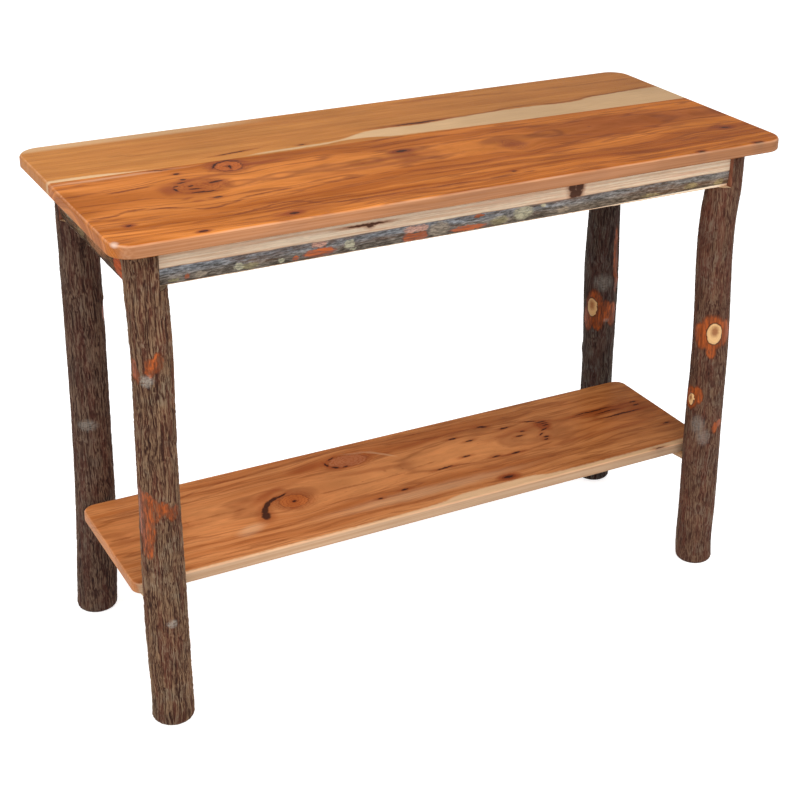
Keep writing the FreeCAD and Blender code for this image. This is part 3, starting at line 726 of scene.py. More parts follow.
POLE_SIDES = 256
POLE_RINGS = 48
POLE_RING_CUTS = 6
FOOT_BEVEL = 7 * MM
FOOT_SEGMENTS = 5
NOTCH_REACH = 80 * MM  # how far the cutters stand out past the pole
NOTCH_RISE = 20 * MM
NOTCHED_TOP = 70 * MM  # upper end of a pole that is not sounded, as the notches are there
UPRIGHT = 8 * MM  # edges that rise by more than this run up the pole
PROBE_REACH = 200 * MM
BARK_STRETCH = 0.037  # ridges are drawn out along the pole to 1 / 0.037 of their width
BARK_SHADOW = 0.26  # brightness that is left in the deepest furrows

# Where the bark has come off, by corner: turn about the pole in degrees from the right end, height,
# half width and half height in millimetres
PEELED = {
    "front_left": (
        (-170, 568, 9, 17), (-156, 560, 6, 10), (-108, 578, 11, 12), (-92, 582, 8, 15),
        (-116, 569, 7, 8), (-176, 352, 16, 42), (-150, 376, 12, 14), (-152, 330, 16, 36),
        (-128, 360, 14, 21), (-100, 362, 12, 12), (-68, 352, 13, 12), (-150, 300, 12, 19),
        (40, 610, 14, 20), (95, 250, 12, 30),
    ),
    "front_right": (
        (-124, 434, 24, 34), (-158, 428, 17, 25), (-84, 434, 17, 24), (-124, 402, 9, 14),
        (176, 312, 16, 22), (-158, 320, 12, 17), (-88, 262, 6, 12), (-68, 268, 9, 9),
        (60, 500, 15, 26),
    ),
    "back_left": ((-20, 520, 13, 19), (70, 300, 16, 24), (150, 610, 10, 14)),
    "back_right": (
        (-146, 356, 18, 34), (-108, 348, 15, 22), (-75, 340, 12, 26), (-132, 326, 12, 18),
        (-172, 330, 12, 26), (-69, 450, 7, 62), (-66, 405, 5, 28), (80, 420, 14, 20),
    ),
}

# Sawn knots, given in the same way
KNOTS = {
    "front_left": (),
    "front_right": ((-117, 433, 12, 17), (-178, 310, 6, 10)),
    "back_left": (),
    "back_right": ((-152, 354, 9.5, 17),),
}

# Healed branch stubs: the same with how far they stand out
STUBS = {
    "front_left": (
        (-132, 571, 7, 6, 2.4), (-124, 549, 13, 6, 2.6), (-96, 530, 9, 15, 2.2),
        (-94, 176, 12, 12, 3.4), (60, 420, 14, 16, 3.0),
    ),
    "front_right": ((-70, 140, 10, 12, 2.2), (-112, 590, 10, 30, 1.4), (100, 330, 13, 15, 3.0)),
    "back_left": ((-121, 342, 15, 9, 3.4), (10, 180, 12, 12, 2.6)),
    "back_right": ((-70, 405, 14, 14, 2.6), (-100, 190, 9, 10, 2.2), (120, 260, 13, 14, 3.0)),
}

# Silvery healed knots, given in the same way as the peeled patches
SCARS = {
    "front_left": ((-127, 556, 10, 9), (-94, 178, 8, 7)),
    "front_right": ((-146, 268, 13, 18), (-126, 247, 12, 16), (-60, 140, 8, 8)),
    "back_left": ((-118, 341, 16, 10),),
    "back_right": ((-118, 404, 18, 17), (-100, 330, 6, 4)),
}

# Bark of each pole: share of the full ridge depth and of the ridge width, its own pattern, flakes left on
# the peeled patches, strength of the grey film and of the silver on healed knots, brightness of crest and
# furrow, and a tint of red, green and blue
POLE_BARK = {
    "front_left": {
        "depth": 1.0, "width": 1.0, "seed": 1, "flakes": 0.6, "film": 0.3, "silver": 0.6,
        "light": (0.9, 1.0), "tint": (1, 1.05, 1.03),
    },
    "front_right": {
        "depth": 0.38, "width": 0.8, "seed": 2, "flakes": 0.1, "film": 0.35, "silver": 0.3,
        "light": (0.65, 1.15), "tint": (1.02, 1.03, 1.06),
    },
    "back_left": {
        "depth": 0.7, "width": 0.9, "seed": 3, "flakes": 0.3, "film": 0.2, "silver": 0.45,
        "light": (0.6, 0.7), "tint": (1.04, 1.14, 1.3),
    },
    "back_right": {
        "depth": 0.5, "width": 1.0, "seed": 4, "flakes": 0.4, "film": 0.25, "silver": 0.34,
        "light": (0.37, 0.64), "tint": (0.93, 1.22, 1.6),
    },
}


def signs(name):
    """Which way a name points along X and Y: -1, 0 or 1."""
    words = name.split("_")
    return ("right" in words) - ("left" in words), ("back" in words) - ("front" in words)


def pole_form(corner, heights):
    """Centre and radius of the CAD pole at some heights, sounded from its uncut outward side."""
    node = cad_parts[f"leg_{corner}"]
    side_x, side_y = signs(corner)
    lowest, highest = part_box(f"leg_{corner}")
    axis = (lowest + highest) / 2
    outward = math.atan2(side_y, side_x)
    centres, radii = [], []
    for height in heights:
        rows, sums = [], []
        for turn in range(-60, 61, 15):
            angle = outward + math.radians(turn)
            direction = Vector((math.cos(angle), math.sin(angle), 0))
            start = Vector((axis.x, axis.y, height)) + direction * PROBE_REACH
            found, point, _, _ = node.ray_cast(start, -direction)
            if found:
                rows.append((2 * point.x, 2 * point.y, 1))
                sums.append(point.x**2 + point.y**2)
        x, y, rest = np.linalg.lstsq(np.array(rows), np.array(sums), rcond=None)[0]
        centres.append((x, y))
        radii.append(math.sqrt(rest + x * x + y * y))
    return np.array(centres), np.array(radii)


class TABLE_OT_legs(bpy.types.Operator):
    """Models the four pole legs with their bark"""

    bl_idname = "table.legs"
    bl_label = "Legs"

    def execute(self, context):
        settings = context.scene.table_bark
        for corner in CORNERS:
            piece, form = self.pole(corner)
            move_points(piece, f"bark_relief_{corner}", self.bark_relief(corner, form, settings))
            self.cut_notches(piece, corner)
            materials = [bark_material(corner, form, settings), cut_wood_material(corner)]
            finish_piece(piece, f"pole_{corner}", materials)
            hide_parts(f"leg_{corner}")
        return {"FINISHED"}

    def pole(self, corner):
        """A smooth pole on the CAD pole's centre line and girth."""
        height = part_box(f"leg_{corner}")[1].z
        levels = np.linspace(0, 1, POLE_RINGS + 1) * (height - FOOT_BEVEL) + FOOT_BEVEL
        sounded = np.clip(levels, FOOT_BEVEL + MM, height - NOTCHED_TOP)
        centres, radii = pole_form(corner, sounded)
        deselect_all()
        bpy.ops.mesh.primitive_cylinder_add(
            vertices=POLE_SIDES,
            radius=radii[0],
            depth=height,
            end_fill_type="NGON",
            location=(*centres[0], height / 2),
        )
        piece = bpy.context.object
        bpy.ops.object.transform_apply(location=True)
        start_editing(piece)
        pick_edges(piece, lambda one, other: max(one.co.z, other.co.z) < MM)
        bpy.ops.mesh.bevel(
            offset=FOOT_BEVEL, segments=FOOT_SEGMENTS, affect="EDGES", clamp_overlap=False
        )
        self.slice_lengthwise(piece, POLE_RINGS - 1)
        shape = bmesh.from_edit_mesh(piece.data)
        rings = [[] for _ in levels]
        gap = levels[1] - levels[0]
        for vert in shape.verts:
            place = (vert.co.z - levels[0]) / gap
            if place > -0.01:
                rings[round(place)].append(vert)
        bpy.ops.mesh.select_mode(type="VERT")
        bpy.ops.mesh.select_all(action="DESELECT")
        for ring, level, centre, radius in zip(rings, levels, centres, radii):
            for vert in ring:
                vert.select = True
            share = radius / radii[0]
            bpy.ops.transform.resize(value=(share, share, 1), center_override=(*centres[0], level))
            bpy.ops.transform.translate(value=(*(centre - centres[0]), 0))
            for vert in ring:
                vert.select = False
        self.slice_lengthwise(piece, POLE_RING_CUTS)
        bpy.ops.object.mode_set(mode="OBJECT")
        return piece, (levels, centres, radii)

    def slice_lengthwise(self, piece, cuts):
        """Cuts the upright edges of the pole's side into equal lengths."""
        pick_edges(piece, lambda one, other: abs(one.co.z - other.co.z) > UPRIGHT)
        bpy.ops.mesh.subdivide(number_cuts=cuts)

    def bark_relief(self, corner, form, settings):
        """Raises the bark's ridges and stubs and sinks the peeled patches."""
        own = POLE_BARK[corner]

        def shape(place, normal):
            width = settings.ridge_width / MM * own["width"]
            height = bark_height(place, width, (1, 1, BARK_STRETCH), own["seed"])
            ragged = wander(place, 0.14, (6, 6, 9), 3)
            bare = step(inside(ragged, surface_spots(PEELED[corner], form)), -0.06, 0.2)
            rise = (height - 0.55) * (settings.ridge_depth / MM * own["depth"])
            floor = height * 0.3 - settings.peel_depth / MM * max(own["depth"], 0.6)
            rise = mix(bare, rise, floor)
            soft = wander(place, 0.1, (4, 4, 4))
            for *spot, bulge in STUBS[corner]:
                rise = rise + step(inside(soft, surface_spots([spot], form)), -0.4, 0.9, 0, bulge)
            if KNOTS[corner]:
                disc = step(inside(soft, surface_spots(KNOTS[corner], form)), -0.12, 0.1)
                rise = mix(disc, rise, 1.5)
            return normal * (MM, MM, 0) * rise, {"relief": height, "bare": bare}

        return shape

    def cut_notches(self, piece, corner):
        """Cuts the two notches that take the rails, down to the rails' lower edge."""
        sides = signs(corner)
        y_word, x_word = corner.split("_")
        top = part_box(f"leg_{corner}")[1].z + NOTCH_RISE
        for rail_axis, rail in ((0, f"rail_{y_word}"), (1, f"rail_{x_word}")):
            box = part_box(rail)
            low, high = [0, 0, box[0].z], [0, 0, top]
            for axis, side in enumerate(sides):
                # Along the rail the notch starts at its end, across it at its inner face
                start = box[side > 0][axis] if axis == rail_axis else box[side < 0][axis]
                reach = -side if axis == rail_axis else side
                low[axis], high[axis] = sorted((start, start + reach * NOTCH_REACH))
            self.cut_box(piece, low, high)

    def cut_box(self, piece, low, high):
        """Cuts a box out of a piece. The faces that it lays bare take the second material."""
        deselect_all()
        bpy.ops.mesh.primitive_cube_add(size=1, location=[(a + b) / 2 for a, b in zip(low, high)])
        cutter = bpy.context.object
        cutter.scale = [b - a for a, b in zip(low, high)]
        for cut in (cutter, piece):
            while len(cut.data.materials) < 2:
                cut.data.materials.append(None)
        for face in cutter.data.polygons:
            face.material_index = 1
        modifier = piece.modifiers.new("notch", "BOOLEAN")
        modifier.operation = "DIFFERENCE"
        modifier.solver = "EXACT"
        modifier.object = cutter
        apply_modifier(piece, modifier)
        bpy.data.objects.remove(cutter)


def surface_spots(spots, form):
    """Centres and half sizes in millimetres of spots that are given by turn and height."""
    levels, centres, radii = form
    placed = []
    for turn, height, half_width, half_height in spots:
        z = height * MM
        x, y, radius = (np.interp(z, levels, known) for known in (*centres.T, radii))
        angle = math.radians(turn)
        centre = (x + radius * math.cos(angle), y + radius * math.sin(angle), z)
        placed.append((tuple(c / MM for c in centre), (half_width, half_width, half_height)))
    return placed


def bark_material(corner, form, settings):
    own = POLE_BARK[corner]
    crest_light, furrow_light = own["light"]
    material, place = new_material(f"bark_{corner}")
    skin = effect(
        "bark_skin",
        Place=place,
        Along=(1, 1, 0.12),
        Relief=kept_number(place, "relief"),
        Bare=kept_number(place, "bare"),
        Flakes=own["flakes"],
        Crest=dimmed(settings.crest, crest_light, own["tint"]),
        Furrow=dimmed(settings.furrow, furrow_light, own["tint"]),
        Russet=dimmed(settings.russet, (crest_light + furrow_light) / 2, own["tint"]),
        Lichen=dimmed(settings.lichen, max(crest_light, 0.6), own["tint"]),
        Inner=dimmed(settings.inner, 0.65 + 0.3 * crest_light),
        Film=own["film"],
        Shadow=BARK_SHADOW,
    )
    colour, roughness = skin["Color"], skin["Roughness"]
    ragged = wander(place, 0.2, (7, 7, 5), 3)
    healed = step(inside(ragged, surface_spots(SCARS[corner], form)), -0.3, 0.6)
    level_streaks = noise(place * (0.3, 0.3, 1), 0.5, 3, 0.65)
    healed = healed * step(level_streaks, 0.36, 0.64, 0.15, own["silver"])
    colour = blend(healed, colour, dimmed(settings.scar, 0.55 + 0.45 * crest_light))
    if KNOTS[corner]:
        spots = surface_spots(KNOTS[corner], form)
        depth = inside(wander(place, 0.1, (7, 7, 7), 2), spots)
        rings = step(sine(depth * 24), -1, 1, 0.93, 1.0)
        face = shaded(dimmed(settings.knot_wood, min(1, 0.5 + 0.8 * crest_light)), rings)
        # Brown has run into the upper half of the knot
        raised = [((x, y, z + half[2] * 0.3), dimmed(half, 0.5)) for (x, y, z), half in spots]
        smear = step(inside(wander(place, 0.25, (5, 5, 6), 2), raised), -0.7, 0.6)
        face = blend(smear * 0.85, face, tone(132, 76, 42))
        colour = blend(step(depth, -0.22, -0.1), colour, tone(78, 38, 18))
        colour = blend(step(depth, -0.08, 0.03), colour, face)
        roughness = mix(step(depth, -0.1, 0.03), roughness, 0.45)
    return finish_material(
        material, skin["Height"], 0.0006, Base_Color=colour, Roughness=roughness, Specular_IOR_Level=0.14
    )


def cut_wood_material(corner):
    """The pale wood that the notches lay bare, redder on their sides. On the front left pole the ledge is
    darker, as painted shadow where the rail meets the pole.
    """
    name = "cut_wood_dark" if corner == "front_left" else "cut_wood"
    if name in bpy.data.materials:
        return bpy.data.materials[name]
    material, place = new_material(name)
    grain = noise(place * (1, 1, 0.1), 0.5, 3)
    flat = step(abs(facing(place)[2]), 0.3, 0.7)
    upright = blend(grain, tone(100, 56, 40), tone(156, 98, 70))
    # Painted shadow: on the front left pole the ledge is dimmed to 0.3 of its colour, for the shade where
    # the rail meets the pole.
    shoulder_shadow = 0.3 if corner == "front_left" else 1.0
    ledge = blend(grain, dimmed(tone(196, 160, 122), shoulder_shadow), dimmed(tone(226, 202, 166), shoulder_shadow))
    return finish_material(
        material, grain, 0.0003,
        Base_Color=blend(flat, upright, ledge), Roughness=0.6, Specular_IOR_Level=0.3,
    )


# Rails

RIDGE_WIDTH = 4.5  # millimetres
END_RAIL_IOR = 1.12  # low, or the surround would veil these rails, which are seen at a slant
SAWN_HEIGHT = {"front": 36.5, "back": 36.5, "left": 14, "right": 14}  # from the upper edge, in millimetres


def bark_border(side):
    """Height in millimetres of the border between sawn wood and bark."""
    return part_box(f"rail_{side}")[1].z / MM - SAWN_HEIGHT[side]


class TABLE_OT_rails(bpy.types.Operator):
    """Models the rails, sawn above and bark below"""

    bl_idname = "table.rails"
    bl_label = "Rails"

    def execute(self, context):
        settings = context.scene.table_rails
        for side in RAIL_SIDES:
            piece = fine_copy(f"rail_{side}", settings.grid)
            move_points(piece, f"rail_relief_{side}", self.rail_relief(side, settings))
            finish_piece(piece, f"bark_rail_{side}", [rail_material(side, settings)], 50)
            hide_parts(f"rail_{side}")
        return {"FINISHED"}

    def rail_relief(self, side, settings):
        """Raises the bark on the outer face, below a border that wanders."""
        out_x, out_y = signs(side)
        border = bark_border(side)

        def shape(place, normal):
            along = (0.09, 1, 1) if out_y else (1, 0.09, 1)
            drawn = place * ((0.3, 1, 1) if out_y else (1, 0.3, 1))
            height = bark_height(place, RIDGE_WIDTH, along, 5 + RAIL_SIDES.index(side))
            wave = (noise(drawn, 0.06, 3) - 0.5) * (settings.border_wander / MM * 2)
            below = wave + border - split(place)[2]
            bark = step(below, -0.4, 0.8) * step(normal.dot((out_x, out_y, 0.0)), 0.2, 0.4)
            rise = (height - 0.5) * (settings.relief / MM) * bark
            return normal * MM * rise, {"relief": height, "bark": bark}

        return shape


# Marks on the rails: distance along from the middle, height, half length and half height in millimetres
RAIL_ORANGE = {
    "front": (
        (-232, 690, 25, 7), (-94, 688, 12, 8), (-77, 688, 12, 8), (0, 687.5, 31, 4.6),
        (17, 703.5, 9, 2.4), (-269, 688, 5.5, 4), (-422, 689.5, 5, 4.5),
    ),
    "back": ((-310, 694, 22, 7), (-40, 688, 14, 6), (210, 696, 26, 5)),
    "left": ((-110, 706, 16, 30), (-122, 690, 10, 16)),
    "right": ((-80, 690, 24, 12), (70, 680, 14, 5)),
}
RAIL_PINK = {
    "front": ((-234, 702, 13, 4.5), (-94, 700, 12, 6), (-77, 700, 12, 6)),
    "back": ((-300, 700, 18, 4),),
    "left": (),
    "right": ((-80, 704, 18, 5),),
}
RAIL_LICHEN = {
    "front": (
        (-188, 695, 8.5, 7.5), (-289, 687, 5.5, 3.8), (-350, 690, 8, 5.5), (91, 696.5, 18, 11.5),
        (124, 702.5, 4, 4), (-182, 686, 5, 2),
    ),
    "back": ((120, 698, 30, 6), (-200, 692, 24, 7)),
    "left": ((104, 718, 40, 30),),
    "right": ((10, 700, 36, 10),),
}
RAIL_TAN = {
    "front": ((-48, 694, 17.5, 12), (-404, 688.5, 9, 5), (160, 690, 12, 5)),
    "back": ((20, 692, 20, 9),),
    "left": ((-20, 704, 56, 26),),
    "right": ((60, 700, 20, 10),),
}
RAIL_OLIVE = {
    "front": (
        (-334, 688, 13, 5), (-441, 687, 8, 3.2), (51, 690.5, 15.5, 7.5), (392, 692, 14, 5),
        (446, 690, 10, 6), (318, 688, 18, 3),
    ),
    "back": ((-90, 694, 26, 8), (330, 690, 30, 6)),
    "left": ((50, 700, 20, 24),),
    "right": ((-30, 674, 30, 5),),
}
# Knots and stains in the sawn wood
RAIL_STAINS = {
    "front": (
        (-162, 718.5, 38, 2.0), (-157, 716.6, 6, 3.8), (174, 722, 8, 9), (186, 722, 8, 10),
        (177, 712, 9, 9), (185, 713, 7, 8),
    ),
    "back": ((-60, 720, 30, 3), (250, 724, 14, 6)),
    "left": ((30, 738, 24, 3),),
    "right": ((-50, 738, 20, 3),),
}


def rail_ovals(side, marks):
    """Middles and half sizes of ovals on a rail's face, drawn right through the rail."""
    through = 6000
    if side in ("front", "back"):
        return [((at, 0, high), (half, through, half_high)) for at, high, half, half_high in marks[side]]
    return [((0, at, high), (through, half, half_high)) for at, high, half, half_high in marks[side]]


def rail_material(side, settings):
    material, place = new_material(f"rail_{side}")
    long_rail = side in ("front", "back")
    foot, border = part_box(f"rail_{side}")[0].z / MM, bark_border(side)
    x, _, height = split(place)

    def drawn(share):
        """The place, drawn out along the rail."""
        return place * ((share, 1, 1) if long_rail else (1, share, 1))

    slow = drawn(0.05)
    grain = noise(drawn(0.012), 0.5, 4, 0.62)
    fine = noise(slow, 1.6, 3, 0.6)
    wood = blend(step(grain, 0.38, 0.62), settings.sawn_dark, settings.sawn)
    wood = shaded(wood, step(fine, 0.3, 0.7, 0.86, 1.08))
    wood = blend(step(noise(slow, 0.12, 3), 0.54, 0.7, 0, 0.4), wood, tone(206, 152, 120))
    if side == "front":
        wood = shaded(wood, step(x, -200, 420, 1.05, 1.3))
    ragged = wander(place, 0.14, (7, 7, 3.4), 3)
    stain = inside(ragged, rail_ovals(side, RAIL_STAINS))
    wood = blend(step(stain, -0.9, 0.2, 0, 0.55), wood, tone(150, 86, 52))
    wood = blend(step(stain, -0.05, 0.4, 0, 0.95), wood, tone(66, 34, 20))

    torn = wander(place, 0.22, (9, 9, 6), 3)
    frayed = wander(torn, 0.7, (2.6, 2.6, 2.2), 2)
    orange = step(inside(frayed, rail_ovals(side, RAIL_ORANGE)), -0.1, 0.2)
    skin = effect(
        "bark_skin",
        Place=place,
        Along=(0.08, 1, 1) if long_rail else (1, 0.08, 1),
        Relief=step(kept_number(place, "relief"), 0.0, 1.0, 0.3, 0.68, smooth=False),
        Bare=orange,
        Flakes=0.3,
        Crest=settings.bark_pale if long_rail else settings.end_pale,
        Furrow=settings.bark_dark if long_rail else settings.end_dark,
        Russet=tone(104, 84, 72),
        Lichen=tone(150, 152, 155),
        Inner=settings.orange if long_rail else settings.end_orange,
        Film=0.5 if long_rail else 0.0,
        Shadow=0.8,
    )
    # Painted shade: the bark darkens towards the rail's lower edge, down to 0.6 on the long rails and 0.5
    # on the end rails.
    painted_shade = step(height, foot + 2, foot + 18, 0.6 if long_rail else 0.5, 1.0)
    colour = shaded(skin["Color"], painted_shade)
    if long_rail:
        low = step(height, foot + 22, foot + 8)
        colour = blend(low, colour, shaded(colour, (1.0, 0.78, 0.58)))
    dashes = noise(drawn(0.25), 0.42, 4, 0.72)
    for marks, paint, share in (
        (RAIL_TAN, settings.tan if long_rail else tone(170, 118, 82), 0.75),
        (RAIL_LICHEN, settings.lichen, 0.8),
        (RAIL_OLIVE, settings.olive, 0.6 if long_rail else 0.3),
        (RAIL_PINK, settings.pink, 0.85),
    ):
        if marks[side]:
            patch = step(inside(torn, rail_ovals(side, marks)), -0.1, 0.3)
            colour = blend(patch * step(dashes, 0.3, 0.64, 0.7, 1.0) * share, colour, paint)
    colour = shaded(colour, step(dashes, 0.36, 0.64, 0.6, 1.32))
    colour = blend(orange, colour, skin["Color"])
    if side == "front":
        colour = blend(step(x, -60, 420), colour, shaded(colour, (1.26, 1.12, 0.96)))
    flecks = step(noise(slow, 0.5, 2), 0.66, 0.72) * step(height, border - 18, border - 6)
    colour = blend(flecks * (0.5 if long_rail else 0.1), colour, tone(196, 198, 198))
    edge = height + noise(place, 0.15, 2) * 1.2
    bottom = foot + settings.arris / MM + 0.6
    if side == "front":
        edge = edge - step(x, 150, 465, 0, 3)
    arris = step(edge, bottom + 0.3, bottom - 0.3)
    bark = kept_number(place, "bark") * (1 - arris)
    rim = bark * (1 - bark) * 2.2
    colour = blend(bark, wood, colour)
    colour = blend(rim, colour, tone(92, 56, 34))
    roughness = mix(bark, 0.62, skin["Roughness"])
    mirror = 1.45 if long_rail else END_RAIL_IOR
    return finish_material(
        material, mix(bark, fine, skin["Height"]), 0.0005,
        Base_Color=colour, Roughness=roughness, Specular_IOR_Level=0.16, IOR=mirror,
    )


# Boards


def stroke(points, half_width):
    """Turned ovals that follow a line through points."""
    ovals = []
    for (x1, y1), (x2, y2) in zip(points, points[1:]):
        length = math.hypot(x2 - x1, y2 - y1)
        turn = math.degrees(math.atan2(y2 - y1, x2 - x1))
        ovals.append(((x1 + x2) / 2, (y1 + y2) / 2, length * 0.9, half_width, turn))
    return ovals


PIN_KNOT = (0.8, 1.0, 1.0, "halo")
VARNISH_IOR = 1.33  # low, or the surround would veil the boards at a slant
LINE_FADE = 1.6  # a line's soft outer edge, as a share of its half width

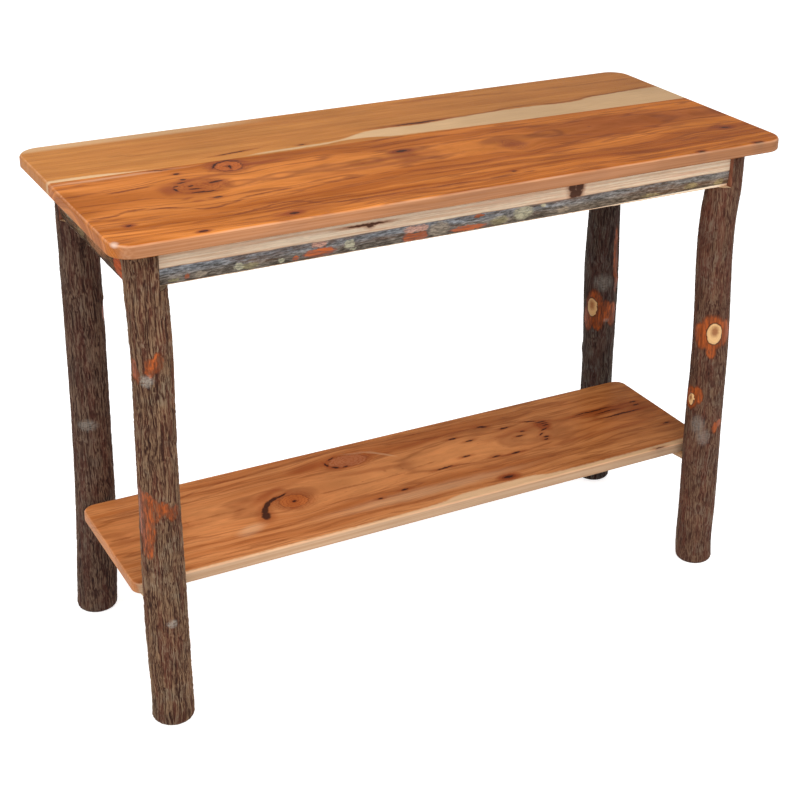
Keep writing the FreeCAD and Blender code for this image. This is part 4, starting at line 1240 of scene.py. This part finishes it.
# What each board shows, in millimetres from the middle of the table. Tint: red, green and blue at the left
# and at the right end. Edge: brightness of its edge at both ends. Knots: middle, half length, half width,
# reach of the halo, strength of the rim, of the dark heart and of the fill, and what fills it. Marks:
# middle, half length, half width and turn in degrees. Lines: points, half width and strength. Sap: the
# sapwood's border, and its foot where there is one.
BOARDS = {
    "top_board_front": {
        "wood": "heart",
        "heart": (0, -52, 640),
        "seed": 2.0,
        "wave": 1.0,
        "contrast": 0.5,
        "tint": ((1.24, 1.3, 1.7), (0.87, 0.79, 0.5)),
        "edge": (0.98, 0.86),
        "knots": (
            (-283, 19, 22, 22, 0.9, 0.6, 0.5, 0.9, "core"),
            (-352, -46, 37, 26, 0.6, 0.1, 0.0, 0.15, "core"),
            (138, -68, 15, 22, 0.9, 0.1, 0.0, 0.0, "core"),
            (-28, -27, 15, 6.5, 1.2, *PIN_KNOT),
            (482, -138, 10, 5, 1.8, *PIN_KNOT),
            (-489, -156.5, 5, 4, 2.0, *PIN_KNOT),
            (-279, -206, 7, 4, 2.0, *PIN_KNOT),
            (-412, -217, 6, 4, 1.4, *PIN_KNOT),
            (373, -224, 7, 4, 1.4, *PIN_KNOT),
            (477, -225, 7, 4, 1.4, *PIN_KNOT),
        ),
        "dark": (
            *stroke(((-305, 22), (-294, 37), (-277, 42), (-262, 33)), 2.2),
            (-282, 14, 2.4, 10, -18), (-28, -27, 12, 4.6, 4), (482, -139, 8, 3.4, -20),
            (-368, -22, 8, 2.4, 10), (-381, -35, 5, 2.4, 30), (-362, -41, 5, 3, 0),
            (-361, -55, 9, 2.6, -14), (-362, -70, 10, 2.4, 4), (-362, 16.5, 5, 3.6, 0),
            (-362, -9, 4.4, 3.2, 0), (-378, 43, 20, 1.6, -10), (-318, 52.5, 10, 1.8, 8),
            (-386, -50, 2.4, 9, 8), (-352, -73, 14, 2.2, -6), (-346, -101, 8, 3, 0),
            (73, -180, 5, 3, 0), (-325, -39, 12, 3.4, 8), (-279, -206, 8, 4, 0),
            (-412, -217, 7, 3.2, 0), (373, -226, 7, 3, 0), (479, -226, 9, 3.4, -8),
            (-489, -156.5, 4, 2.4, 0),
        ),
        "lines": (
            (((-535, -16), (-493, -11.5), (-439, -5), (-389, 7)), 2.0, 0.45),
            (((-481, -24), (-427, -20), (-400, -10)), 3.2, 0.85),
            (((-535, -56.5), (-473, -65), (-427, -68), (-408, -78), (-381, -89)), 2.2, 0.5),
            (((-535, -103), (-502, -114), (-466, -104), (-439, -108), (-389, -130), (-370, -138),
              (-343, -133), (-289, -114), (-204, -108), (-131, -110)), 3.6, 0.85),
            (((-320, -78), (-266, -70), (-189, -66), (-73, -78), (0, -74), (75, -72)), 4.0, 0.4),
            (((-420, -185), (-362, -178), (-304, -168), (-273, -160), (-243, -174), (-197, -191),
              (-73, -193), (0, -195), (108, -193)), 3.0, 0.75),
            (((0, -24), (96, -20), (154, -28), (200, -47), (238, -55)), 4.5, 0.45),
            (((200, -55), (308, -93), (385, -128), (454, -145), (500, -155)), 4.0, 0.4),
        ),
        "soft": (
            (-239, 14, 46, 7, 0), (-325, -39.5, 12, 17, 0), (-95, -76, 100, 9, 2),
            (67, -127.5, 120, 5, 2), (-300, -205, 14, 4, 0), (-96, -195, 110, 10, 2),
            (-262, -196, 46, 10, 6),
        ),
        "flame": (
            (-340, -14, 60, 6, 6), (-397, -47, 12, 22, 0), (138, -70, 24, 9, 0), (-232, 16, 44, 8, 4),
            (-60, -52, 90, 6, 2), (-285, -203, 22, 7, 6), (-385, -89, 9, 4, 20),
            (-375, -105, 10, 4, 0), (470, -128, 26, 6, 30),
        ),
        "pale": ((-440, 41, 100, 5, 0),),
        "sap": None,
    },
    "top_board_back": {
        "wood": "back",
        "heart": (0, -150, 700),
        "seed": 7.0,
        "wave": 0.3,
        "contrast": 0.16,
        "tint": ((1.17, 1.18, 1.2), (0.82, 0.79, 0.76)),
        "edge": (0.98, 0.86),
        "knots": (),
        "dark": (
            (-254, 74, 27, 2.0, 8), (-148, 66.5, 6, 2.6, 0), (63, 93.5, 46, 3.0, 0),
            (69, 93, 20, 3.2, 0),
        ),
        "lines": (
            (((12, 97), (42, 95), (65, 88), (96, 93.5), (181, 97), (269, 105), (308, 95), (346, 95),
              (385, 103), (461, 108), (519, 115)), 3.0, 0.6),
            (((165, 201), (269, 184), (346, 176), (442, 172), (519, 172)), 4.0, 0.4),
            (((-90, 97), (-40, 98), (20, 97)), 4.0, 0.3),
            (((-430, 137), (-390, 126), (-345, 112)), 5.0, 0.25),
        ),
        "soft": ((138, 204.5, 60, 8, 0), (63, 94, 70, 8, 0), (-252, 73.5, 34, 5, 12)),
        "flame": (),
        "pale": (),
        "sap": (
            (-540, 62), (-477, 61), (-408, 52), (-300, 44), (-197, 56), (-112, 58), (-60, 72), (0, 86),
            (58, 82), (135, 90), (269, 93), (338, 87), (385, 97), (442, 103), (519, 105),
        ),
        "sap_foot": (
            (-540, 45), (-408, 49), (-300, 52), (-197, 50), (-112, 52), (-77, 58), (0, 45), (77, 41),
            (154, 36), (231, 30), (385, 26), (519, 24),
        ),
    },
    "shelf_board": {
        "wood": "shelf",
        "heart": (0, 10, 90),
        "seed": 11.0,
        "wave": 0.9,
        "contrast": 0.4,
        "tint": ((1.42, 1.45, 1.6), (0.88, 0.85, 0.84)),
        "edge": (1.12, 0.86),
        "knots": (
            (-206, -7, 24, 20, 0.9, 0.25, 0.0, 0.5, "core"),
            (-73, 73, 36, 21, 0.6, 0.15, 0.0, 0.28, "knot_grey"),
            (136, -95, 12, 6.5, 1.4, *PIN_KNOT),
            (282, 33, 10, 12, 1.0, 0.2, 0.3, 0.6, "halo"),
        ),
        "dark": (
            (-263, -31, 13, 8, 72), (-257, -14, 15, 6.4, 62), (-247, 0, 15, 5.6, 50),
            (-234, 10, 14, 4.4, 34), (-219, 16, 13, 3.0, 26), (-111, 76, 3, 8, 10),
            (-102, 62, 7, 3.4, -40), (-86, 56, 6, 2.4, 0), (-96, 92, 8, 2, 30),
            (270, 57, 12, 2.0, -12), (286, 48, 11, 2.0, -6), (289, 41, 9, 1.8, 0),
            (287, 34, 7, 1.8, 0), (276, 22, 9, 1.8, 24), (262, 8, 7, 1.8, 30), (-206, -9, 4, 3.4, 0),
            (136, -95, 11, 4.6, 0), (-82, -64, 6, 2.4, 0), (-34, -56, 8, 2.8, 0),
            (58, -21.5, 18, 2.4, 6), (108, -3.5, 9, 2.6, 0), (154, -25.5, 9, 2.8, 0),
            (189, -29, 11, 2.6, 0), (118, 61.5, 10, 2.6, 0), (140, 42.5, 9, 2.6, 0),
            (226, 19, 7, 2.4, 0), (239, 32, 6, 2.4, 0), (184, 78, 10, 3.2, -20), (218, 57, 10, 2.8, 0),
            (266, -3, 6, 2.8, 0), (261, -11, 5, 2.6, 0), (392, 41.5, 46, 2.2, 0),
            (412, 29, 32, 1.6, 0), (430, 10.5, 48, 2.2, 0), (476, 39.5, 7, 2.4, 0),
            (474, 28, 6, 2.2, 0), (480, -54.5, 7, 2.4, 0), (416, -128, 12, 4, 0),
        ),
        "lines": (
            (((-505, 89), (-420, 75), (-329, 91.5), (-239, 103.5), (-148, 110), (-58, 114),
              (63, 106.5), (203, 111)), 2.2, 0.5),
            (((-508, 70), (-430, 66), (-340, 66), (-260, 72), (-175, 66)), 2.2, 0.45),
            (((-508, 7), (-430, 6), (-350, 6), (-274, 5)), 2.6, 0.55),
            (((-508, -10), (-350, -6), (-285, -14)), 2.0, 0.35),
            (((-165, -6), (-100, -8), (-40, -7), (20, 0), (60, 8)), 2.4, 0.5),
            (((0, 97), (90, 83), (183, 77), (243, 67), (288, 46)), 2.4, 0.5),
            (((57, -23), (120, -26), (190, -30), (250, -27), (272, -12)), 2.4, 0.55),
            (((-508, -45), (-400, -52), (-330, -60), (-250, -72), (-190, -66), (0, -66), (200, -68),
              (505, -55)), 2.4, 0.3),
            (((335, 38), (380, 36), (430, 39), (480, 38)), 2.4, 0.6),
            (((345, 47), (400, 46), (450, 48)), 2.2, 0.5),
            (((350, 26), (420, 24), (484, 27)), 2.2, 0.5),
            (((340, 8), (400, 10), (484, 12)), 2.2, 0.4),
            (((-508, -88), (-400, -100), (-300, -108), (-100, -96), (60, -98), (200, -100),
              (505, -92)), 2.4, 0.4),
        ),
        "soft": (
            (-229, 35.5, 60, 8, 12), (-58, 26, 80, 7, -6), (63, 76.5, 60, 6, 4), (224, 37, 70, 9, 8),
            (-420, -5, 60, 9, 3), (355, -32.5, 100, 7, 2),
        ),
        "flame": ((-146, 80, 34, 13, 8), (410, 34, 66, 13, 0), (466, 14, 30, 10, 0), (-240, 26, 34, 9, 30)),
        "pale": (
            *stroke(((-62, 95), (-34, 88), (-16, 74), (-2, 58)), 3.2),
            (-298, -58, 24, 13, 20), (0, -76, 170, 14, 0),
        ),
        "sap": (
            (-511, -126), (-100, -125), (0, -121), (60, -111), (160, -111), (210, -119), (400, -119),
            (511, -110),
        ),
    },
}


def board_material(name, settings):
    own = BOARDS[name]
    material, place = new_material(name)
    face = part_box(name)[1].z / MM
    through, skin_deep = 400, 12
    soft = wander(place, 0.03, (9, 7, 5), 2)
    ragged = wander(soft, 0.2, (4.6, 3.6, 2), 3)
    grit = noise(place * (0.5, 1, 1), 0.25, 3) - 0.5

    pull, depths = 0.0, []
    for x, y, half_length, half_width, *_ in own["knots"]:
        knot = effect(
            "knot_pull",
            Place=soft,
            Centre=(x, y, face),
            Half_Size=(half_length, half_width, through if half_length > 12 else skin_deep),
            Strength=0.85,
        )
        pull = pull + knot["Pull"]
        depths.append(knot["Depth"])
    drawn = place + join(0, pull, 0) if depths else place
    grain = effect("plank_grain", Place=drawn, Heart=own["heart"], Wave=own["wave"], Seed=own["seed"])
    wood, rim_wood = own["wood"], "shelf_edge" if name == "shelf_board" else "edge"
    pale, deep = getattr(settings, f"{wood}_pale"), getattr(settings, f"{wood}_deep")
    skin = effect(
        "plank_skin",
        **{title: grain[title] for title in ("Band", "Line", "Fibre", "Pore")},
        Contrast=own["contrast"],
        Pale=pale,
        Deep=deep,
        Lines=settings.grain_line,
    )
    colour = skin["Color"]
    x, y, _ = split(place)

    def ovals(marks, at):
        """How deep a place lies in the nearest of some marks."""
        spots = []
        for mark_x, mark_y, half_length, half_width, turn in marks:
            spot = effect(
                "oval_spot",
                Place=at,
                Centre=(mark_x, mark_y, face),
                Half_Size=(half_length, half_width, skin_deep),
                Turn=(0, 0, math.radians(turn)),
            )
            spots.append(spot["Depth"])
        return deepest(spots)

    for marks, paint, share in (
        (own["soft"], settings.halo, 0.4),
        (own["flame"], settings.halo, 0.6),
        (own["pale"], settings.sapwood, 0.3),
    ):
        if marks:
            colour = blend(step(ovals(marks, soft), -0.5, 0.7) * share, colour, paint)
    if own["sap"]:
        uneven = y + grit * 5
        sap = step(uneven - traced(x, own["sap"]), 5, -1)
        if "sap_foot" in own:
            sap = sap * step(uneven - traced(x, own["sap_foot"]), -2, 4)
        sapwood = shaded(settings.sapwood, step(grain["Fibre"], 0.3, 0.7, 0.9, 1.06))
        colour = blend(sap * 0.9, colour, sapwood)
    if name == "top_board_back":
        strip = step(y, 196, 212) * step(x, -110, -260)
        colour = blend(strip * 0.6, colour, settings.sapwood)
    run = step(noise(place * (0.05, 0.4, 0.4), 0.5, 2), 0.34, 0.62, 0.22, 1.0)
    traces = 0.0
    for points, half_width, strength in own["lines"]:
        away = abs(split(ragged)[1] - traced(x, points))
        trace = step(away, half_width * LINE_FADE, half_width * 0.3, 0.0, strength)
        ends = within(x, points[0][0] + 8, points[-1][0] - 8, 8)
        traces = greater(traces, trace * ends)
    colour = blend(traces * run, colour, settings.grain_line)
    for depth, (_, _, _, _, reach, rim, heart, fill, filling) in zip(depths, own["knots"]):
        painted = effect(
            "knot_face",
            Color=colour,
            Depth=depth,
            Grit=grit,
            Halo=settings.halo,
            Core=getattr(settings, filling),
            Dark=settings.knot_dark,
            Reach=reach,
            Rim=rim,
            Heart=heart,
            Fill=fill,
        )
        colour = painted["Color"]
    dark = ovals(own["dark"], ragged)
    colour = blend(step(dark, -1.7, 0.3) * 0.55, colour, settings.halo)
    colour = blend(step(dark, -0.1, 0.4) * 0.92, colour, settings.knot_dark)

    colour = shaded(colour, blend(step(x, -500, 500, smooth=False), *own["tint"]))
    cloud = step(noise(place * (0.5, 1, 1), 0.012, 2), 0.3, 0.7, 0.93, 1.07)
    colour = shaded(colour, cloud)

    across, _, level = facing(place)
    end_share = step(abs(across), 0.5, 0.9)
    straight = noise(place * (0.006, 1, 1), 0.42, 4, 0.6)
    edge_pale = getattr(settings, f"{rim_wood}_pale")
    edge = blend(step(straight, 0.36, 0.64), getattr(settings, f"{rim_wood}_deep"), edge_pale)
    end_wood = blend(step(noise(place, 1.1, 4, 0.65), 0.35, 0.65), deep, edge_pale)
    edge = blend(end_share, edge, end_wood)
    edge = shaded(edge, step(x, -500, 500, *own["edge"], smooth=False) * cloud)
    side = step(abs(level), 0.8, 0.4)
    colour = blend(side * mix(end_share, 0.85, 0.35), colour, edge)
    # Painted highlight: pale patches of varnish sheen along the rounded arris, weaker on the end faces.
    glossy = noise(place * (0.1, 1, 1), 0.12, 3)
    arris_highlight = within(level, 0.45, 0.88, 0.12) * step(glossy, 0.35, 0.65, 0.25, 0.6)
    arris_highlight = arris_highlight * mix(end_share, 1.0, 0.3)
    colour = blend(arris_highlight, colour, settings.arris)
    if name == "top_board_front":
        # Painted highlight: a bright glint on the rounded front left corner.
        bright = inside(place, [((-526, -210, face - 2), (8, 10, 5))])
        colour = blend(step(bright, 0.0, 0.8, 0, 0.5), colour, settings.glint)
    gloss = step(grain["Fibre"], 0.3, 0.7, settings.roughness + 0.06, settings.roughness - 0.04)
    return finish_material(
        material, skin["Height"], 0.00012,
        Base_Color=colour, Roughness=gloss, Specular_IOR_Level=0.03, IOR=VARNISH_IOR,
    )


class TABLE_OT_boards(bpy.types.Operator):
    """Finishes the top and the shelf"""

    bl_idname = "table.boards"
    bl_label = "Top and Shelf"

    def execute(self, context):
        for name in BOARDS:
            dress_node(name, board_material(name, context.scene.table_boards))
        return {"FINISHED"}


def dress_node(name, material):
    """Gives a CAD node its material."""
    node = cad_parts[name]
    node.data.materials.clear()
    node.data.materials.append(material)


# Underside


class TABLE_OT_rungs(bpy.types.Operator):
    """Models the two shaved rungs under the shelf"""

    bl_idname = "table.rungs"
    bl_label = "Rungs"

    def execute(self, context):
        settings = context.scene.table_under
        for number, side in enumerate(("left", "right")):
            piece = fine_copy(f"shelf_rung_{side}", settings.grid)
            move_points(piece, f"shave_{side}", self.facets(number, settings))
            finish_piece(piece, f"shaved_rung_{side}", [rung_material(side, settings)], 40)
            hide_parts(f"shelf_rung_{side}")
        return {"FINISHED"}

    def facets(self, number, settings):
        """Long shallow flats where the drawknife took the bark off."""

        def shape(place, normal):
            flats = step(cells(place * (1, 0.1, 1) + (number * 90.0, 0, 0), 0.11, "F1"), 0.0, 0.75)
            return normal * (MM, 0, MM) * ((flats - 0.6) * (settings.facet / MM)), {}

        return shape


def rung_material(side, settings):
    material, place = new_material(f"rung_{side}")
    streak = noise(place * (1, 0.04, 1), 0.35, 4, 0.6)
    fine = noise(place * (1, 0.06, 1), 1.6, 3, 0.6)
    colour = blend(step(streak, 0.35, 0.65), dimmed(settings.shaved, 0.72), settings.shaved)
    colour = shaded(colour, step(fine, 0.3, 0.7, 0.85, 1.08))
    left_on = step(noise(place * (1, 0.12, 1), 0.07, 3, 0.6), 0.62, 0.68)
    colour = blend(left_on * 0.7, colour, tone(134, 82, 50))
    roughness = step(fine, 0.3, 0.7, 0.6, 0.5)
    return finish_material(
        material, fine, 0.0003, Base_Color=colour, Roughness=roughness, Specular_IOR_Level=0.35
    )


def sawn_material(name, along, settings):
    """Rough sawn wood with the saw's marks across the grain."""
    material, place = new_material(name)
    grain = noise(place * along, 0.4, 4, 0.6)
    fine = noise(place * along, 1.8, 3, 0.6)
    x, y, z = split(place)
    run = x + y if along[2] == 1 else z
    kerf = sine((run + noise(place, 0.08, 2) * 3) * 2.2)
    colour = blend(step(grain, 0.35, 0.65), dimmed(settings.sawn, 0.74), settings.sawn)
    colour = shaded(colour, step(fine, 0.3, 0.7, 0.88, 1.06) * step(kerf, -1, 1, 0.95, 1.02))
    roughness = step(grain, 0.3, 0.7, 0.62, 0.72)
    return finish_material(
        material, fine + kerf * 0.3, 0.0003, Base_Color=colour, Roughness=roughness, Specular_IOR_Level=0.3
    )


def screw_material(settings):
    material, place = new_material("zinc_screws")
    plate = effect("zinc", Place=place, Metal=settings.steel)
    return finish_material(
        material, noise(place, 1.5, 2), 0.00008,
        Base_Color=plate["Color"], Roughness=plate["Roughness"], Metallic=1.0,
    )


class TABLE_OT_joinery(bpy.types.Operator):
    """Finishes the braces, the cleats and the screws"""

    bl_idname = "table.joinery"
    bl_label = "Braces, Cleats and Screws"

    def execute(self, context):
        settings = context.scene.table_under
        braces = sawn_material("brace_wood", (0.2, 0.2, 1), settings)
        cleats = sawn_material("cleat_wood", (0.04, 1, 1), settings)
        screws = screw_material(settings)
        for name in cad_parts:
            if name.startswith("corner_brace"):
                dress_node(name, braces)
            elif name.startswith("top_cleat"):
                dress_node(name, cleats)
            elif name.endswith(("screws", "washers")):
                dress_node(name, screws)
        return {"FINISHED"}


class TABLE_PT_panel(bpy.types.Panel):
    """Lists the steps that build the table"""

    bl_idname = "TABLE_PT_panel"
    bl_label = "Hickory Table"
    bl_space_type = "VIEW_3D"
    bl_region_type = "UI"
    bl_category = "Table"

    def draw(self, context):
        for operator in OPERATORS:
            self.layout.operator(operator.bl_idname)


OPERATORS = (
    TABLE_OT_stage,
    TABLE_OT_legs,
    TABLE_OT_rails,
    TABLE_OT_boards,
    TABLE_OT_rungs,
    TABLE_OT_joinery,
)


def register():
    for name, group in SETTINGS:
        bpy.utils.register_class(group)
        setattr(bpy.types.Scene, name, bpy.props.PointerProperty(type=group))
    for item in (*OPERATORS, TABLE_PT_panel):
        bpy.utils.register_class(item)


def unregister():
    for item in (TABLE_PT_panel, *reversed(OPERATORS)):
        bpy.utils.unregister_class(item)
    for name, group in reversed(SETTINGS):
        delattr(bpy.types.Scene, name)
        bpy.utils.unregister_class(group)


def main():
    register()
    bpy.ops.table.stage()
    bpy.ops.table.legs()
    bpy.ops.table.rails()
    bpy.ops.table.boards()
    bpy.ops.table.rungs()
    bpy.ops.table.joinery()


if __name__ == "__main__":
    main()
